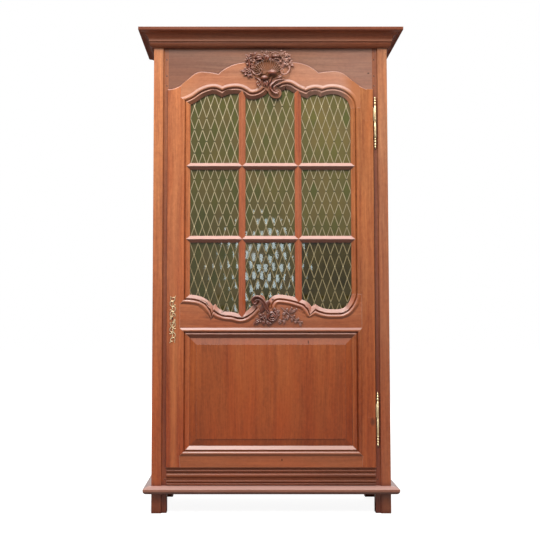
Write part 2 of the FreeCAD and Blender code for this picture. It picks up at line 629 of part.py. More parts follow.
def lattice_strips(cell, region, slope_sign, y):
    """Straight flat cames of one direction, cut to one pane."""
    row, column, x0, x1, z0, z1 = cell
    left = max(x0, -SIGHT_HALF_WIDTH)
    pitch = (min(x1, SIGHT_HALF_WIDTH) - left) / DIAMONDS_ACROSS
    rise = DIAMOND_HEIGHT / pitch
    angle = math.degrees(math.atan(rise))
    reach = z1 - z0 + rise * (x1 - x0)
    lines = int(reach / DIAMOND_HEIGHT) + 1
    above = (GLASS_TOP_LEFT,) + CROSS_BARS
    strips = []
    for k in range(-lines, lines + 1):
        # The came runs through a crossing in the middle of the first column.
        x, z = left + pitch / 2, above[row] - LATTICE_DROP[row] + k * DIAMOND_HEIGHT
        ends = [z + slope_sign * rise * (edge - x) for edge in (x0, x1)]
        if max(ends) < z0 or min(ends) > z1:
            continue
        strip = Part.makeBox(2 * reach, CAME_THICKNESS, CAME_WIDTH,
                             V(-reach, y, -CAME_WIDTH / 2))
        strip.rotate(V(0, 0, 0), V(0, 1, 0), -slope_sign * angle)
        strip.translate(V(x, 0, z))
        strips += [solid for solid in strip.common(region).Solids
                   if solid.Volume > SMALLEST_CAME * CAME_WIDTH * CAME_THICKNESS]
    return strips


def came_lattice():
    strips = []
    for sign, y in ((1, CAME_Y), (-1, CAME_Y + CAME_THICKNESS)):
        regions = pane_blocks(PANE_EDGE, GLASS_ROOM, y, y + CAME_THICKNESS)
        for cell, region in zip(cells(BAR_WIDTH / 2), regions):
            strips += lattice_strips(cell, region, sign, y)
    return strips


def glass_panes():
    return pane_blocks(PANE_EDGE, GLASS_ROOM, GLASS_Y, GLASS_Y + GLASS_THICKNESS)


def glazing_beads():
    """One bead frame behind each pane, between the rebate wall and the sight line."""
    outer = pane_blocks(BAR_TONGUE / 2, REBATE - FIT, BEAD_Y, DOOR_BACK)
    inner = pane_blocks(BAR_WIDTH / 2, 0, BEAD_Y, DOOR_BACK)
    return [a.cut(b) for a, b in zip(outer, inner)]


# ================================================================ raised door panel
def door_panel():
    """Bevelled panel with a small step round its field and a tongue in the frame's groove."""
    y = DOOR_FACE + PANEL_GROOVE_FRONT
    reach = REBATE - FIT

    def rectangle(inset, depth):
        x = SIGHT_HALF_WIDTH - inset
        low, high = PANEL_SIGHT_BOTTOM + inset, PANEL_SIGHT_TOP - inset
        return [V(-x, depth, low), V(x, depth, low), V(x, depth, high), V(-x, depth, high)]
    bevel_top, field = y - DOOR_PANEL_RISE, DOOR_PANEL_BEVEL + 1
    return faceted([rectangle(-reach, y + PANEL_GROOVE), rectangle(-reach, y),
                    rectangle(FIT, y), rectangle(DOOR_PANEL_BEVEL, bevel_top),
                    rectangle(field, bevel_top), rectangle(field, bevel_top - DOOR_PANEL_STEP)])


# ================================================================ carcase
MORTISES = {}


def rail_with_tenons(x0, x1, y0, y1, z0, z1, along, posts, tenon_z):
    """A rail with a tenon at each end; the matching mortises are noted for the posts."""
    shape = block(x0, x1, y0, y1, z0, z1)
    middle_y, middle_x = (y0 + y1) / 2, (x0 + x1) / 2
    half = TENON_THICKNESS / 2
    for end, post in zip((0, 1), posts):
        if along == "x":
            start = x1 if end else x0 - TENON_LENGTH
            piece = block(start, start + TENON_LENGTH, middle_y - half, middle_y + half, *tenon_z)
        else:
            start = y1 if end else y0 - TENON_LENGTH
            piece = block(middle_x - half, middle_x + half, start, start + TENON_LENGTH, *tenon_z)
        MORTISES.setdefault(post, []).append(piece)
        shape = shape.fuse(piece)
    return shape


def arch_opening(distance, y0, y1):
    """Everything under the door's arched top line, lowered by distance."""
    edges = run_edges(DOOR_TOP, -distance, y0)
    a, b = first_point(edges), last_point(edges)
    low = OPENING_BOTTOM
    edges += [line(b.x, b.z, b.x, low, y0), line(b.x, low, a.x, low, y0)]
    return slab(edges, y1 - y0)


RAIL_BACK = RECESS_Y + RAIL_THICKNESS
FRIEZE_LOW = DOOR_SHOULDER - DOOR_CLEARANCE - LIP_OVERLAP
frieze_rail = rail_with_tenons(
    -POST_IN, POST_IN, RECESS_Y, RAIL_BACK, FRIEZE_LOW, CASE_HEIGHT, "x",
    ("front_left", "front_right"), (FRIEZE_LOW + 12, CASE_HEIGHT - 30))
frieze_rail = frieze_rail.cut(arch_opening(LIP_OVERLAP, RECESS_Y - 1, RAIL_BACK + 1).common(
    block(-POST_IN, POST_IN, RECESS_Y - 2, RAIL_BACK + 2, OPENING_BOTTOM, ABOVE_DOOR)))

# Reeds of the bottom rail, from the top down: upper and lower edge, and how far they stand out.
REEDS = ((187.0, 177.0, 5.0), (172.0, 152.0, 6.5), (142.0, 132.0, 5.0), (129.0, BASE_TOP, 4.0))


def reeded_face():
    """Half-round reeds worked along the front of the bottom rail."""
    reeds = []
    for top, bottom, rise in REEDS:
        x, y, middle = -POST_IN, RECESS_Y, (top + bottom) / 2
        curve = Part.Arc(V(x, y, top), V(x, y - rise, middle), V(x, y, bottom)).toShape()
        wire = Part.Wire([curve, Part.makeLine(V(x, y, bottom), V(x, y, top))])
        reeds.append(Part.Face(wire).extrude(V(2 * POST_IN, 0, 0)))
    return reeds


bottom_front_rail = rail_with_tenons(
    -POST_IN, POST_IN, RECESS_Y, RAIL_BACK, BASE_BOTTOM, OPENING_BOTTOM, "x",
    ("front_left", "front_right"), (BASE_BOTTOM + 14, OPENING_BOTTOM - 14))
bottom_front_rail = fused(bottom_front_rail, *reeded_face())

LEVELS = {"top": (CASE_HEIGHT - SIDE_TOP_RAIL_DEPTH, CASE_HEIGHT),
          "middle": (SIDE_MIDDLE_RAIL_CENTRE - SIDE_MIDDLE_RAIL_DEPTH / 2,
                     SIDE_MIDDLE_RAIL_CENTRE + SIDE_MIDDLE_RAIL_DEPTH / 2),
          "bottom": (BASE_BOTTOM, SIDE_BOTTOM_RAIL_TOP)}
TENON_INSET = 14.0


def frame_rails(x0, x1, y0, y1, along, posts):
    rails = {}
    for place, (z0, z1) in LEVELS.items():
        rails[place] = rail_with_tenons(x0, x1, y0, y1, z0, z1, along, posts,
                                        (z0 + TENON_INSET, z1 - TENON_INSET))
    return rails


SIDE_FRONT_Y = FRONT + POST_DEPTH
side_rails = {
    "right": frame_rails(SIDE_IN, SIDE_FACE, SIDE_FRONT_Y, BACK_POST_Y, "y",
                         ("front_right", "back_right")),
    "left": frame_rails(-SIDE_FACE, -SIDE_IN, SIDE_FRONT_Y, BACK_POST_Y, "y",
                        ("front_left", "back_left"))}
back_rails = frame_rails(-POST_IN, POST_IN, BACK_RAIL_Y, BACK_RAIL_Y + BACK_RAIL_THICKNESS, "x",
                         ("back_left", "back_right"))
PANEL_SPANS = {"upper": (LEVELS["middle"][1], LEVELS["top"][0]),
               "lower": (LEVELS["bottom"][1], LEVELS["middle"][0])}


def raised_panel(lo, hi, face, outward, axis):
    """Panel between lo and hi (across, z), with a bevelled field on its outer side.
    axis is the direction that the panel faces, face is the inner side of its tongue."""
    def place(across, depth, z):
        return V(depth, across, z) if axis == "x" else V(across, depth, z)

    def rectangle(inset, depth):
        corners = [(lo[0] + inset, lo[1] + inset), (hi[0] - inset, lo[1] + inset),
                   (hi[0] - inset, hi[1] - inset), (lo[0] + inset, hi[1] - inset)]
        return [place(across, depth, z) for across, z in corners]
    outer, edge = face + outward * PANEL_TONGUE, FIT - PANEL_IN_GROOVE
    panel = faceted([rectangle(edge, face), rectangle(edge, outer), rectangle(FIT, outer),
                     rectangle(PANEL_BEVEL, outer + outward * PANEL_FIELD_RISE)])
    groove = faceted([rectangle(-PANEL_IN_GROOVE, depth) for depth in (face, outer)])
    return panel, groove


panels = {}
grooves = {"right": [], "left": [], "back": []}
for level, (z0, z1) in PANEL_SPANS.items():
    for name, sign in (("right", 1), ("left", -1)):
        panels["side_" + level + "_panel_" + name], groove = raised_panel(
            (SIDE_FRONT_Y, z0), (BACK_POST_Y, z1), sign * (SIDE_IN + PANEL_IN_GROOVE), sign, "x")
        grooves[name].append(groove)
    panels["back_" + level + "_panel"], groove = raised_panel(
        (-POST_IN, z0), (POST_IN, z1), BACK_RAIL_Y + PANEL_FIELD_RISE, 1, "y")
    grooves["back"].append(groove)


def front_post():
    """Right front post: raised outer face, cove and recessed inner strip, floor to cornice."""
    step = HALF - RAISED_FACE
    low = step - STRIP_COVE
    bend = STRIP_COVE * (1 - math.sqrt(0.5))
    cove = Part.Arc(V(step, FRONT, 0),
                    V(step - bend, RECESS_Y - bend * STRIP_RECESS / STRIP_COVE, 0),
                    V(low, RECESS_Y, 0)).toShape()
    points = [V(low, RECESS_Y, 0), V(POST_IN, RECESS_Y, 0), V(POST_IN, FRONT + POST_DEPTH, 0),
              V(HALF, FRONT + POST_DEPTH, 0), V(HALF, FRONT, 0), V(step, FRONT, 0)]
    edges = [cove] + [Part.makeLine(a, b) for a, b in zip(points, points[1:])]
    return Part.Face(Part.Wire(Part.__sortEdges__(edges))).extrude(V(0, 0, CASE_HEIGHT))


posts = {"front_right": front_post(),
         "back_right": block(POST_IN, HALF, BACK_POST_Y, BACK, 0, CASE_HEIGHT)}
posts["front_left"] = mirrored(posts["front_right"])
posts["back_left"] = mirrored(posts["back_right"])
plain_posts = Part.makeCompound(list(posts.values()))


def peg(x, z):
    """An eight-sided draw peg, driven in from the front of a post's strip."""
    radius = PEG_SIZE / 2 / math.cos(math.pi / 8)
    turns = [math.pi / 4 * (k + 0.5) for k in range(9)]
    wire = Part.makePolygon([V(x + radius * math.cos(t), RECESS_Y, z + radius * math.sin(t))
                             for t in turns])
    return Part.Face(wire).extrude(V(0, PEG_LENGTH, 0))


PEG_X = POST_IN + 8.0
PEG_DROPS = (113.0, 188.0, 233.0)        # frieze pegs under the top of the posts
PEG_HEIGHTS = [CASE_HEIGHT - drop for drop in PEG_DROPS] + [BASE_BOTTOM + 60]
pegs = {side: [peg(side * PEG_X, z) for z in PEG_HEIGHTS] for side in (-1, 1)}
all_pegs = Part.makeCompound(pegs[-1] + pegs[1])
frieze_rail = frieze_rail.cut(all_pegs)
bottom_front_rail = bottom_front_rail.cut(all_pegs)


# ================================================================ cornice and base moulding
def crown_profile(place):
    """Fascia, cove, fillet and ovolo: points are (projection, height over the cornice's foot)."""
    lap, out = CORNICE_HEIGHT - CORNICE_LAP, CORNICE_PROJECTION

    def p(out, up):
        return place(out, CORNICE_BOTTOM + up)
    edges = [Part.makeLine(p(-STRIP_RECESS, 0), p(3, 0)),
             Part.Arc(p(3, 0), p(14.5, 5), p(19, 17)).toShape(),
             Part.makeLine(p(19, 17), p(19, 21)), Part.makeLine(p(19, 21), p(16, 23)),
             Part.makeLine(p(16, 23), p(22, 26)), Part.makeLine(p(22, 26), p(22, 33)),
             Part.Arc(p(22, 33), p(33.5, 53), p(out - 8, 63)).toShape(),
             Part.makeLine(p(out - 8, 63), p(out - 3, 64)),
             Part.makeLine(p(out - 3, 64), p(out, 67)),
             Part.makeLine(p(out, 67), p(out, CORNICE_HEIGHT)),
             Part.makeLine(p(out, CORNICE_HEIGHT), p(-STRIP_RECESS, CORNICE_HEIGHT)),
             Part.makeLine(p(-STRIP_RECESS, CORNICE_HEIGHT), p(-STRIP_RECESS, lap)),
             Part.makeLine(p(-STRIP_RECESS, lap), p(-STRIP_RECESS, 0))]
    return Part.Face(Part.Wire(Part.__sortEdges__(edges)))


def base_profile(place):
    """Round-nosed base moulding: coved underside, short nose, sloping top."""
    def p(out, up):
        return place(out, BASE_BOTTOM + up)
    out, high = BASE_PROJECTION, BASE_TOP - BASE_BOTTOM
    edges = [Part.makeLine(p(-STRIP_RECESS, 0), p(out - 17, 0)),
             Part.Arc(p(out - 17, 0), p(out - 4.5, 5), p(out, 17)).toShape(),
             Part.makeLine(p(out, 17), p(out, 22)),
             Part.Arc(p(out, 22), p(out - 12, 28.5), p(5, high)).toShape(),
             Part.makeLine(p(5, high), p(-STRIP_RECESS, high)),
             Part.makeLine(p(-STRIP_RECESS, high), p(-STRIP_RECESS, 0))]
    return Part.Face(Part.Wire(Part.__sortEdges__(edges)))


def mitred(profile, projection, z0, z1):
    """Front and side lengths of a moulding that runs round the carcase, mitred at the corner."""
    out = projection + 1
    front = profile(lambda p, z: V(-HALF - out, FRONT - p, z)).extrude(V(2 * (HALF + out), 0, 0))
    side = profile(lambda p, z: V(HALF + p, FRONT - out, z)).extrude(V(0, CASE_DEPTH + out, 0))

    def keep(points):
        wire = Part.makePolygon([V(x, y, z0 - 1) for x, y in points + points[:1]])
        return Part.Face(wire).extrude(V(0, 0, z1 - z0 + 2))
    back = STRIP_RECESS
    front_zone = [(-HALF - out, FRONT - out), (HALF + out, FRONT - out),
                  (HALF - back, FRONT + back), (-HALF + back, FRONT + back)]
    side_back = SIDE_RAIL_SET_BACK
    side_zone = [(HALF + out, FRONT - out), (HALF + out, BACK), (HALF - side_back, BACK),
                 (HALF - side_back, FRONT + side_back)]
    front = largest(front.common(keep(front_zone)).cut(plain_posts))
    right = largest(side.common(keep(side_zone)).cut(plain_posts))
    return front, right, mirrored(right)


cornice = mitred(crown_profile, CORNICE_PROJECTION, CORNICE_BOTTOM, CASE_HEIGHT + CORNICE_LAP)
base = mitred(base_profile, BASE_PROJECTION, BASE_BOTTOM, BASE_TOP)

# ================================================================ boards inside
bottom_board = block(-SIDE_IN, SIDE_IN, RAIL_BACK, BACK_RAIL_Y,
                     OPENING_BOTTOM - BOARD_THICKNESS, OPENING_BOTTOM).cut(plain_posts)
top_board = block(-SIDE_FACE, SIDE_FACE, FRONT + STRIP_RECESS, BACK,
                  CASE_HEIGHT, CASE_HEIGHT + TOP_BOARD_THICKNESS)
shelves = [block(-SIDE_IN, SIDE_IN, FRONT + SHELF_FRONT, BACK_RAIL_Y,
                 top - SHELF_THICKNESS, top).cut(plain_posts) for top in SHELF_TOPS]
CLEAT_TOPS = [OPENING_BOTTOM - BOARD_THICKNESS] + [top - SHELF_THICKNESS for top in SHELF_TOPS]
right_cleats = [block(SIDE_IN - CLEAT_SIZE, SIDE_IN, SIDE_FRONT_Y - CLEAT_HOUSING,
                      BACK_POST_Y + CLEAT_HOUSING, top - CLEAT_SIZE, top) for top in CLEAT_TOPS]
left_cleats = [mirrored(cleat) for cleat in right_cleats]
for name, pieces in MORTISES.items():
    pieces += left_cleats if name.endswith("left") else right_cleats


# ================================================================ fiche hinges
# Each hinge has a lower half on the post, with the pin, and an upper half on the door.
FINIAL_BEADS = ((11.0, 4.8), (24.0, 4.4), (37.0, 4.0))   # distance past the barrel, radius
BEAD_HALF = 5.0
FINIAL_NECK = 2.2
FINIAL_SIDES = 12


def ring_of_points(x, y, radius, sides, z):
    """Points on a level circle."""
    turns = [2 * math.pi * (k + 0.5) / sides for k in range(sides)]
    return [V(x + radius * math.cos(t), y + radius * math.sin(t), z) for t in turns]


def finial(z0, direction):
    """Three beads turned on the end of a barrel, as rings of twelve points."""
    turning = [(0, HINGE_RADIUS - 1)]
    for distance, radius in FINIAL_BEADS:
        turning += [(distance - BEAD_HALF - 1, FINIAL_NECK), (distance, radius),
                    (distance + BEAD_HALF, FINIAL_NECK)]
    return faceted([ring_of_points(HINGE_X, HINGE_Y, radius, FINIAL_SIDES, z0 + direction * d)
                    for d, radius in turning])


def hinge_post_half(joint):
    barrel = Part.makeCylinder(HINGE_RADIUS, HINGE_HALF, V(HINGE_X, HINGE_Y, joint - HINGE_HALF))
    pin = Part.makeCylinder(HINGE_PIN_RADIUS, HINGE_PIN_LENGTH, V(HINGE_X, HINGE_Y, joint))
    leaf = block(HINGE_X - HINGE_LEAF / 2, HINGE_X + HINGE_LEAF / 2, HINGE_Y,
                 RECESS_Y + HINGE_LEAF_REACH, *leaf_span(joint, -1))
    return fused(barrel, pin, leaf, finial(joint - HINGE_HALF, -1))


def leaf_span(joint, side):
    middle = joint + side * HINGE_HALF / 2
    return middle - HINGE_LEAF_HEIGHT / 2, middle + HINGE_LEAF_HEIGHT / 2


def door_leaf(joint, x1):
    return block(DOOR_HALF_WIDTH - HINGE_LEAF_REACH, x1, HINGE_Y - HINGE_LEAF / 2,
                 HINGE_Y + HINGE_LEAF / 2, *leaf_span(joint, 1))


def hinge_door_half(joint):
    z0 = joint + HINGE_GAP
    length = HINGE_HALF - HINGE_GAP
    barrel = Part.makeCylinder(HINGE_RADIUS, length, V(HINGE_X, HINGE_Y, z0))
    whole = fused(barrel, door_leaf(joint, HINGE_X), finial(z0 + length, 1))
    bore = Part.makeCylinder(HINGE_PIN_RADIUS + HINGE_BORE_CLEARANCE,
                             HINGE_PIN_LENGTH + 1, V(HINGE_X, HINGE_Y, z0 - 1))
    return whole.cut(bore)


hinges = {name: (hinge_post_half(joint), hinge_door_half(joint))
          for name, joint in zip(("upper", "lower"), HINGE_JOINTS)}
for joint in HINGE_JOINTS:
    STILES[1] = STILES[1].cut(door_leaf(joint, DOOR_HALF_WIDTH + 1))
    leaf_slot = block(HINGE_X - HINGE_LEAF / 2, HINGE_X + HINGE_LEAF / 2, RECESS_Y - 1,
                      RECESS_Y + HINGE_LEAF_REACH, *leaf_span(joint, -1))
    MORTISES["front_right"].append(leaf_slot)


# ================================================================ lock
BODY_EDGE = -(DOOR_HALF_WIDTH - LIP_OVERLAP - DOOR_CLEARANCE)   # free edge of the door's body
BOLT_Y = DOOR_BACK + LOCK_DEPTH / 2


def bolt_block(x0, x1, room):
    half_y, half_z = BOLT_THICKNESS / 2 + room, BOLT_HEIGHT / 2 + room
    return block(x0, x1, BOLT_Y - half_y, BOLT_Y + half_y, LOCK_Z - half_z, LOCK_Z + half_z)


def lock_case():
    """Pressed rim-lock case on the back of the stile, open towards the wood."""
    x0, x1 = BODY_EDGE, BODY_EDGE + LOCK_WIDTH
    z0, z1 = LOCK_Z - LOCK_HEIGHT / 2, LOCK_Z + LOCK_HEIGHT / 2
    shell = block(x0, x1, DOOR_BACK, DOOR_BACK + LOCK_DEPTH, z0, z1)
    inside = block(x0 + LOCK_WALL, x1 - LOCK_WALL, DOOR_BACK - 1,
                   DOOR_BACK + LOCK_DEPTH - LOCK_WALL, z0 + LOCK_WALL, z1 - LOCK_WALL)
    return shell.cut(inside).cut(bolt_block(x0 - 1, x0 + LOCK_WALL + 1, BOLT_CLEARANCE))


lock_bolt = bolt_block(BODY_EDGE, BODY_EDGE + BOLT_LENGTH, 0)
keeper = block(-POST_IN - KEEPER_PLATE, -POST_IN, BOLT_Y - KEEPER_WIDTH / 2,
               BOLT_Y + KEEPER_WIDTH / 2, LOCK_Z - KEEPER_HEIGHT / 2, LOCK_Z + KEEPER_HEIGHT / 2)
bolt_hole = bolt_block(BODY_EDGE - BOLT_THROW - 3 * BOLT_CLEARANCE - KEEPER_HOLE_ROOM,
                       -POST_IN + 1, KEEPER_HOLE_ROOM)
MORTISES["front_left"] += [keeper, bolt_hole]
lock_keeper = keeper.cut(bolt_hole)

for name, pieces in MORTISES.items():
    posts[name] = posts[name].cut(Part.makeCompound(pieces))
for side, name in ((-1, "front_left"), (1, "front_right")):
    posts[name] = posts[name].cut(Part.makeCompound(pegs[side]))
for side in ("left", "right"):
    for groove in grooves[side]:
        for name in ("front_" + side, "back_" + side):
            posts[name] = posts[name].cut(groove)
        side_rails[side] = {place: rail.cut(groove) for place, rail in side_rails[side].items()}
for groove in grooves["back"]:
    for name in ("back_left", "back_right"):
        posts[name] = posts[name].cut(groove)
    back_rails = {place: rail.cut(groove) for place, rail in back_rails.items()}


# ================================================================ escutcheon
def disc(x, z, radius, y0, y1, sides=8):
    """A small flat disc in the door's plane."""
    turns = [2 * math.pi * (k + 0.5) / sides for k in range(sides)]
    return board([(x + radius * math.cos(t), z + radius * math.sin(t)) for t in turns], y0, y1)


def spiral(x, z, start, sweep, radius, last_radius, steps=8):
    """Points of a C-scroll round (x, z)."""
    path = []
    for k in range(steps):
        share = k / (steps - 1)
        r = radius + (last_radius - radius) * share
        turn = math.radians(start + sweep * share)
        path.append((x + r * math.cos(turn), z + r * math.sin(turn)))
    return path


def flat_scroll(x, z, radius, width, start, sweep, y0, y1):
    """A flat C-shaped bar in the door's plane."""
    outer = spiral(x, z, start, sweep, radius + width / 2, radius + width / 2, 10)
    inner = spiral(x, z, start, sweep, radius - width / 2, radius - width / 2, 10)
    return board(outer + inner[::-1], y0, y1)


def keyhole():
    """Round hole with a slot under it, through the plate and the stile to the lock."""
    y0, y1 = DOOR_FACE - 2 * ESCUTCHEON_THICKNESS, DOOR_BACK + 1
    hole = Part.makeCylinder(KEYHOLE_RADIUS, y1 - y0, V(LOCK_X, y0, LOCK_Z + 4), V(0, 1, 0))
    slot = block(LOCK_X - KEYHOLE_SLOT / 2, LOCK_X + KEYHOLE_SLOT / 2, y0, y1,
                 LOCK_Z - 8, LOCK_Z + 4)
    return hole.fuse(slot)


KEYHOLE = keyhole()
STILES[-1] = STILES[-1].cut(KEYHOLE)


def escutcheon():
    """Pierced brass plate: a keyhole oval between two stacks of C-scrolls, each stack the other
    turned half round."""
    y0, y1 = DOOR_FACE - ESCUTCHEON_THICKNESS, DOOR_FACE
    half = [flat_scroll(LOCK_X - 3, LOCK_Z + 28, 9.5, 4.5, -60, 250, y0, y1),
            flat_scroll(LOCK_X + 3, LOCK_Z + 48, 10.5, 4.5, 100, 260, y0, y1),
            flat_scroll(LOCK_X - 3, LOCK_Z + 71, 10, 4.5, -80, 260, y0, y1),
            flat_scroll(LOCK_X + 2, LOCK_Z + 89, 6.5, 4, 90, 270, y0, y1),
            board([(LOCK_X, LOCK_Z + 86), (LOCK_X + 5, LOCK_Z + 97),
                   (LOCK_X, LOCK_Z + 106), (LOCK_X - 5, LOCK_Z + 97)], y0, y1)]
    half += [disc(LOCK_X, LOCK_Z + up, 5, y0, y1) for up in (18, 39, 60, 80)]
    plate = fused(disc(LOCK_X, LOCK_Z, 15.5, y0, y1, 16), *half,
                  *[piece.rotated(V(LOCK_X, 0, LOCK_Z), V(0, 1, 0), 180) for piece in half])
    return plate.cut(KEYHOLE)


# ================================================================ carving
# The roughed-out masses of the carving. All of it stands on the door's face.
GROUND = DOOR_FACE - 5.0


def carved(path, halves, heights):
    """A ridged length of carving through the points of path (x, z), with its half width and its
    height over the door's face at each of them."""
    sections = []
    shoulder = 0.7
    for i, (x, z) in enumerate(path):
        before, after = path[max(i - 1, 0)], path[min(i + 1, len(path) - 1)]
        length = math.dist(before, after)
        nx, nz = (before[1] - after[1]) / length, (after[0] - before[0]) / length
        corners = [(-1, 0), (-shoulder, shoulder), (0, 1), (shoulder, shoulder), (1, 0)]
        sections.append([V(x + nx * halves[i] * a, DOOR_FACE - heights[i] * h,
                           z + nz * halves[i] * a) for a, h in corners])
    return faceted(sections)


def tapered(first, last, count):
    return [first + (last - first) * k / (count - 1) for k in range(count)]


def scroll(x, z, start, sweep, radius, last_radius, half, last_half, height):
    path = spiral(x, z, start, sweep, radius, last_radius)
    return carved(path, tapered(half, last_half, len(path)), tapered(height, height + 2, len(path)))


def knob(x, z, radius, height, sides=9):
    """A rounded boss, carved in facets."""
    rings = []
    for share, depth in ((1, 0), (0.88, 0.55), (0.5, 0.9), (0.2, 1)):
        turns = [2 * math.pi * (k + 0.5) / sides for k in range(sides)]
        points = [V(x + share * radius * math.cos(t), DOOR_FACE - depth * height,
                    z + share * radius * math.sin(t)) for t in turns]
        rings.append(points)
    return faceted(rings)


def petal(x, z, tip_x, tip_z, half, height):
    """A leaf or petal from (x, z) to its tip."""
    middle = (x + (tip_x - x) * 0.55, z + (tip_z - z) * 0.55)
    return carved([(x, z), middle, (tip_x, tip_z)], (half * 0.6, half, half * 0.25),
                  (height * 0.8, height, height * 0.6))


def flower(x, z, radius, height, petals):
    """A flower with its petals' and leaves' tips listed as (x, z, half width)."""
    return [knob(x, z, radius, height)] + [
        petal(x, z, px, pz, half, height * 0.75) for px, pz, half in petals]


def hood(x, z, radius, height):
    """A lobe rolled forward over a hollow."""
    return knob(x, z, radius, height).cut(knob(x, z - radius * 0.7, radius * 0.75, height * 1.3))


def shell_flutes():
    """The shell's hollowed field: flutes that spread from the hub and rise to the rim."""
    flutes = []
    for k in range(FLUTES):
        angle = math.radians(159 - 132 * k / (FLUTES - 1))
        reach = FLUTE_LENGTH * (1 - 0.1 * abs(math.cos(angle)))
        path = [(HUB[0] + r * math.cos(angle), HUB[1] + r * math.sin(angle))
                for r in (0.25 * reach, 0.65 * reach, reach)]
        flutes.append(carved(path, (3.0, 7.0, 10.0), (7, 10, 13)))
    return flutes


FLUTES = 10
FLUTE_LENGTH = 79.0
HUB = (-13.0, 1940.0)


def crest():
    """Shell crest of the top rail: a fluted shell with two curled fronds over it, rolled lobes
    and C-scrolls under it, and sprays of flowers at both sides."""
    ground = slab(run_edges(outline(
        (-84, 1938), (100, -92, 2010), (60, -50, 2030), (0, 24, 2034), (-50, 62, 2010),
        (-80, 84, 1960), (-140, 40, 1926), (190, -20, 1900), (170, -60, 1915),
        (150, -84, 1938)), 0, GROUND), DOOR_FACE - GROUND)
    fronds = [
        carved([(-80, 2006), (-70, 2024), (-53, 2029), (-37, 2024), (-28, 2012)],
               (5, 8, 9, 8, 4), (11, 17, 19, 17, 11)),
        carved([(8, 2010), (2, 2024), (20, 2036), (38, 2030), (50, 2012)],
               (4, 7, 10, 8, 4), (11, 15, 19, 17, 11))]
    scrolls = [scroll(-61, 1958, 190, 245, 23, 8, 4.5, 3, 10),
               scroll(66, 1961, 35, -255, 23, 8, 4.5, 3, 10),
               scroll(-52, 1906, 60, 260, 13, 5, 3.5, 2.5, 8)]
    lobes = [hood(8, 1946, 22, 24), hood(-30, 1925, 19, 19)]
    hanging = [carved([(46, 1922), (20, 1917), (3, 1902), (1, 1881), (13, 1862), (31, 1848)],
                      (4, 7, 8, 9, 9, 5), (8, 10, 12, 13, 12, 8)),
               petal(-14, 1918, -14, 1880, 8, 11), petal(16, 1924, 48, 1936, 5, 9)]
    flowers = (
        flower(-20, 2045, 8, 16, [(-36, 2048, 5), (-27, 2059, 4), (-12, 2059, 4), (-2, 2042, 5),
                                  (-20, 2024, 6)])
        + flower(-98, 2022, 12, 15, [(-114, 2031, 6), (-92, 2039, 6), (-113, 2010, 6)])
        + flower(-76, 2006, 8, 16, [(-92, 2000, 6), (-64, 2046, 6)])
        + flower(-97, 1967, 12, 15, [(-113, 1980, 6), (-82, 1982, 6), (-136, 1962, 6),
                                     (-99, 1928, 6), (-82, 1938, 6), (-116, 1946, 5)])
        + flower(60, 2020, 12, 15, [(47, 2055, 6), (84, 2034, 7), (44, 2002, 6)])
        + flower(76, 1992, 10, 15, [(107, 1983, 6), (94, 2004, 6), (66, 1975, 5)]))
    stems = [carved([(-97, 2014), (-90, 1994), (-96, 1974)], (4, 5, 4), (9, 10, 9)),
             carved([(62, 2012), (72, 2002), (76, 1994)], (5, 6, 5), (10, 11, 10))]
    return fused(ground, *shell_flutes(), *fronds, *scrolls, *lobes, *hanging, *flowers, *stems)


def rail_spray():
    """Carving of the middle rail: a volute on the moulding's crest, a rosette with leaves below
    it and a flowering sprig to the right."""
    volute = [carved([(-73, 909), (-85, 925), (-78, 944), (-60, 950), (-40, 938), (-26, 912),
                      (-14, 880)], (3, 6, 8, 9, 10, 8, 4), (9, 12, 14, 14, 12, 11, 9)),
              knob(-66, 922, 9, 12)]
    rosette = [knob(5, 861, 14, 15), scroll(5, 861, 70, -250, 21, 17, 5, 4, 9),
               petal(10, 878, 38, 885, 6, 10), petal(-20, 900, -8, 874, 5, 10)]
    leaves = (flower(-37, 857, 8, 11, [(-52, 868, 5), (-20, 852, 6), (-33, 824, 7)])
              + [petal(-40, 850, -77, 824, 8, 9), petal(-24, 852, -6, 819, 8, 9),
                 petal(-48, 846, -66, 850, 6, 8)])
    stem = [carved([(42, 901), (63, 884), (79, 868), (101, 849), (136, 822)],
                   (2, 4, 4, 4, 2), (6, 8, 8, 8, 6))]
    sprig = [petal(80, 872, 92, 896, 4, 8), petal(84, 876, 113, 892, 4, 8),
             petal(66, 880, 51, 866, 4, 8), petal(78, 866, 74, 848, 4, 8),
             petal(97, 852, 102, 862, 4, 7), petal(94, 854, 93, 838, 4, 7),
             petal(112, 840, 109, 830, 4, 7), petal(118, 836, 139, 835, 4, 7)]
    low_leaves = [carved([(72, 858), (56, 845), (38, 835)], (3, 5, 2), (8, 9, 6)),
                  petal(58, 846, 56, 827, 5, 8), petal(58, 848, 44, 856, 5, 8)]
    return fused(volute[0], volute[1], *rosette, *leaves, *stem, *sprig, *low_leaves)


crest_shell = crest().translated(V(0, 0, RAISE)).cut(RAILS["top"])
rail_carving = rail_spray().cut(RAILS["middle"])

# ================================================================ the set
save("post_front_left", posts["front_left"])
save("post_front_right", posts["front_right"])
save("post_back_left", posts["back_left"])
save("post_back_right", posts["back_right"])
save("frieze_rail", frieze_rail)
save("bottom_front_rail", bottom_front_rail)
save("frame_pegs", all_pegs)
for side, rails in side_rails.items():
    for place, rail in rails.items():
        save("side_" + place + "_rail_" + side, rail)
for place, rail in back_rails.items():
    save("back_" + place + "_rail", rail)
for name, panel in panels.items():
    save(name, panel)
for place, shelf in zip(("lower", "middle", "upper"), shelves):
    save("shelf_" + place, shelf)
save("cleats", *right_cleats, *left_cleats)
save("bottom_board", bottom_board)
save("top_board", top_board)
for name, pieces in (("cornice", cornice), ("base_moulding", base)):
    for place, piece in zip(("front", "right", "left"), pieces):
        save(name + "_" + place, piece)
save("lock_keeper", lock_keeper)
save("door_stile_left", STILES[-1])
save("door_stile_right", STILES[1])
for place, rail in RAILS.items():
    save("door_" + place + "_rail", rail)
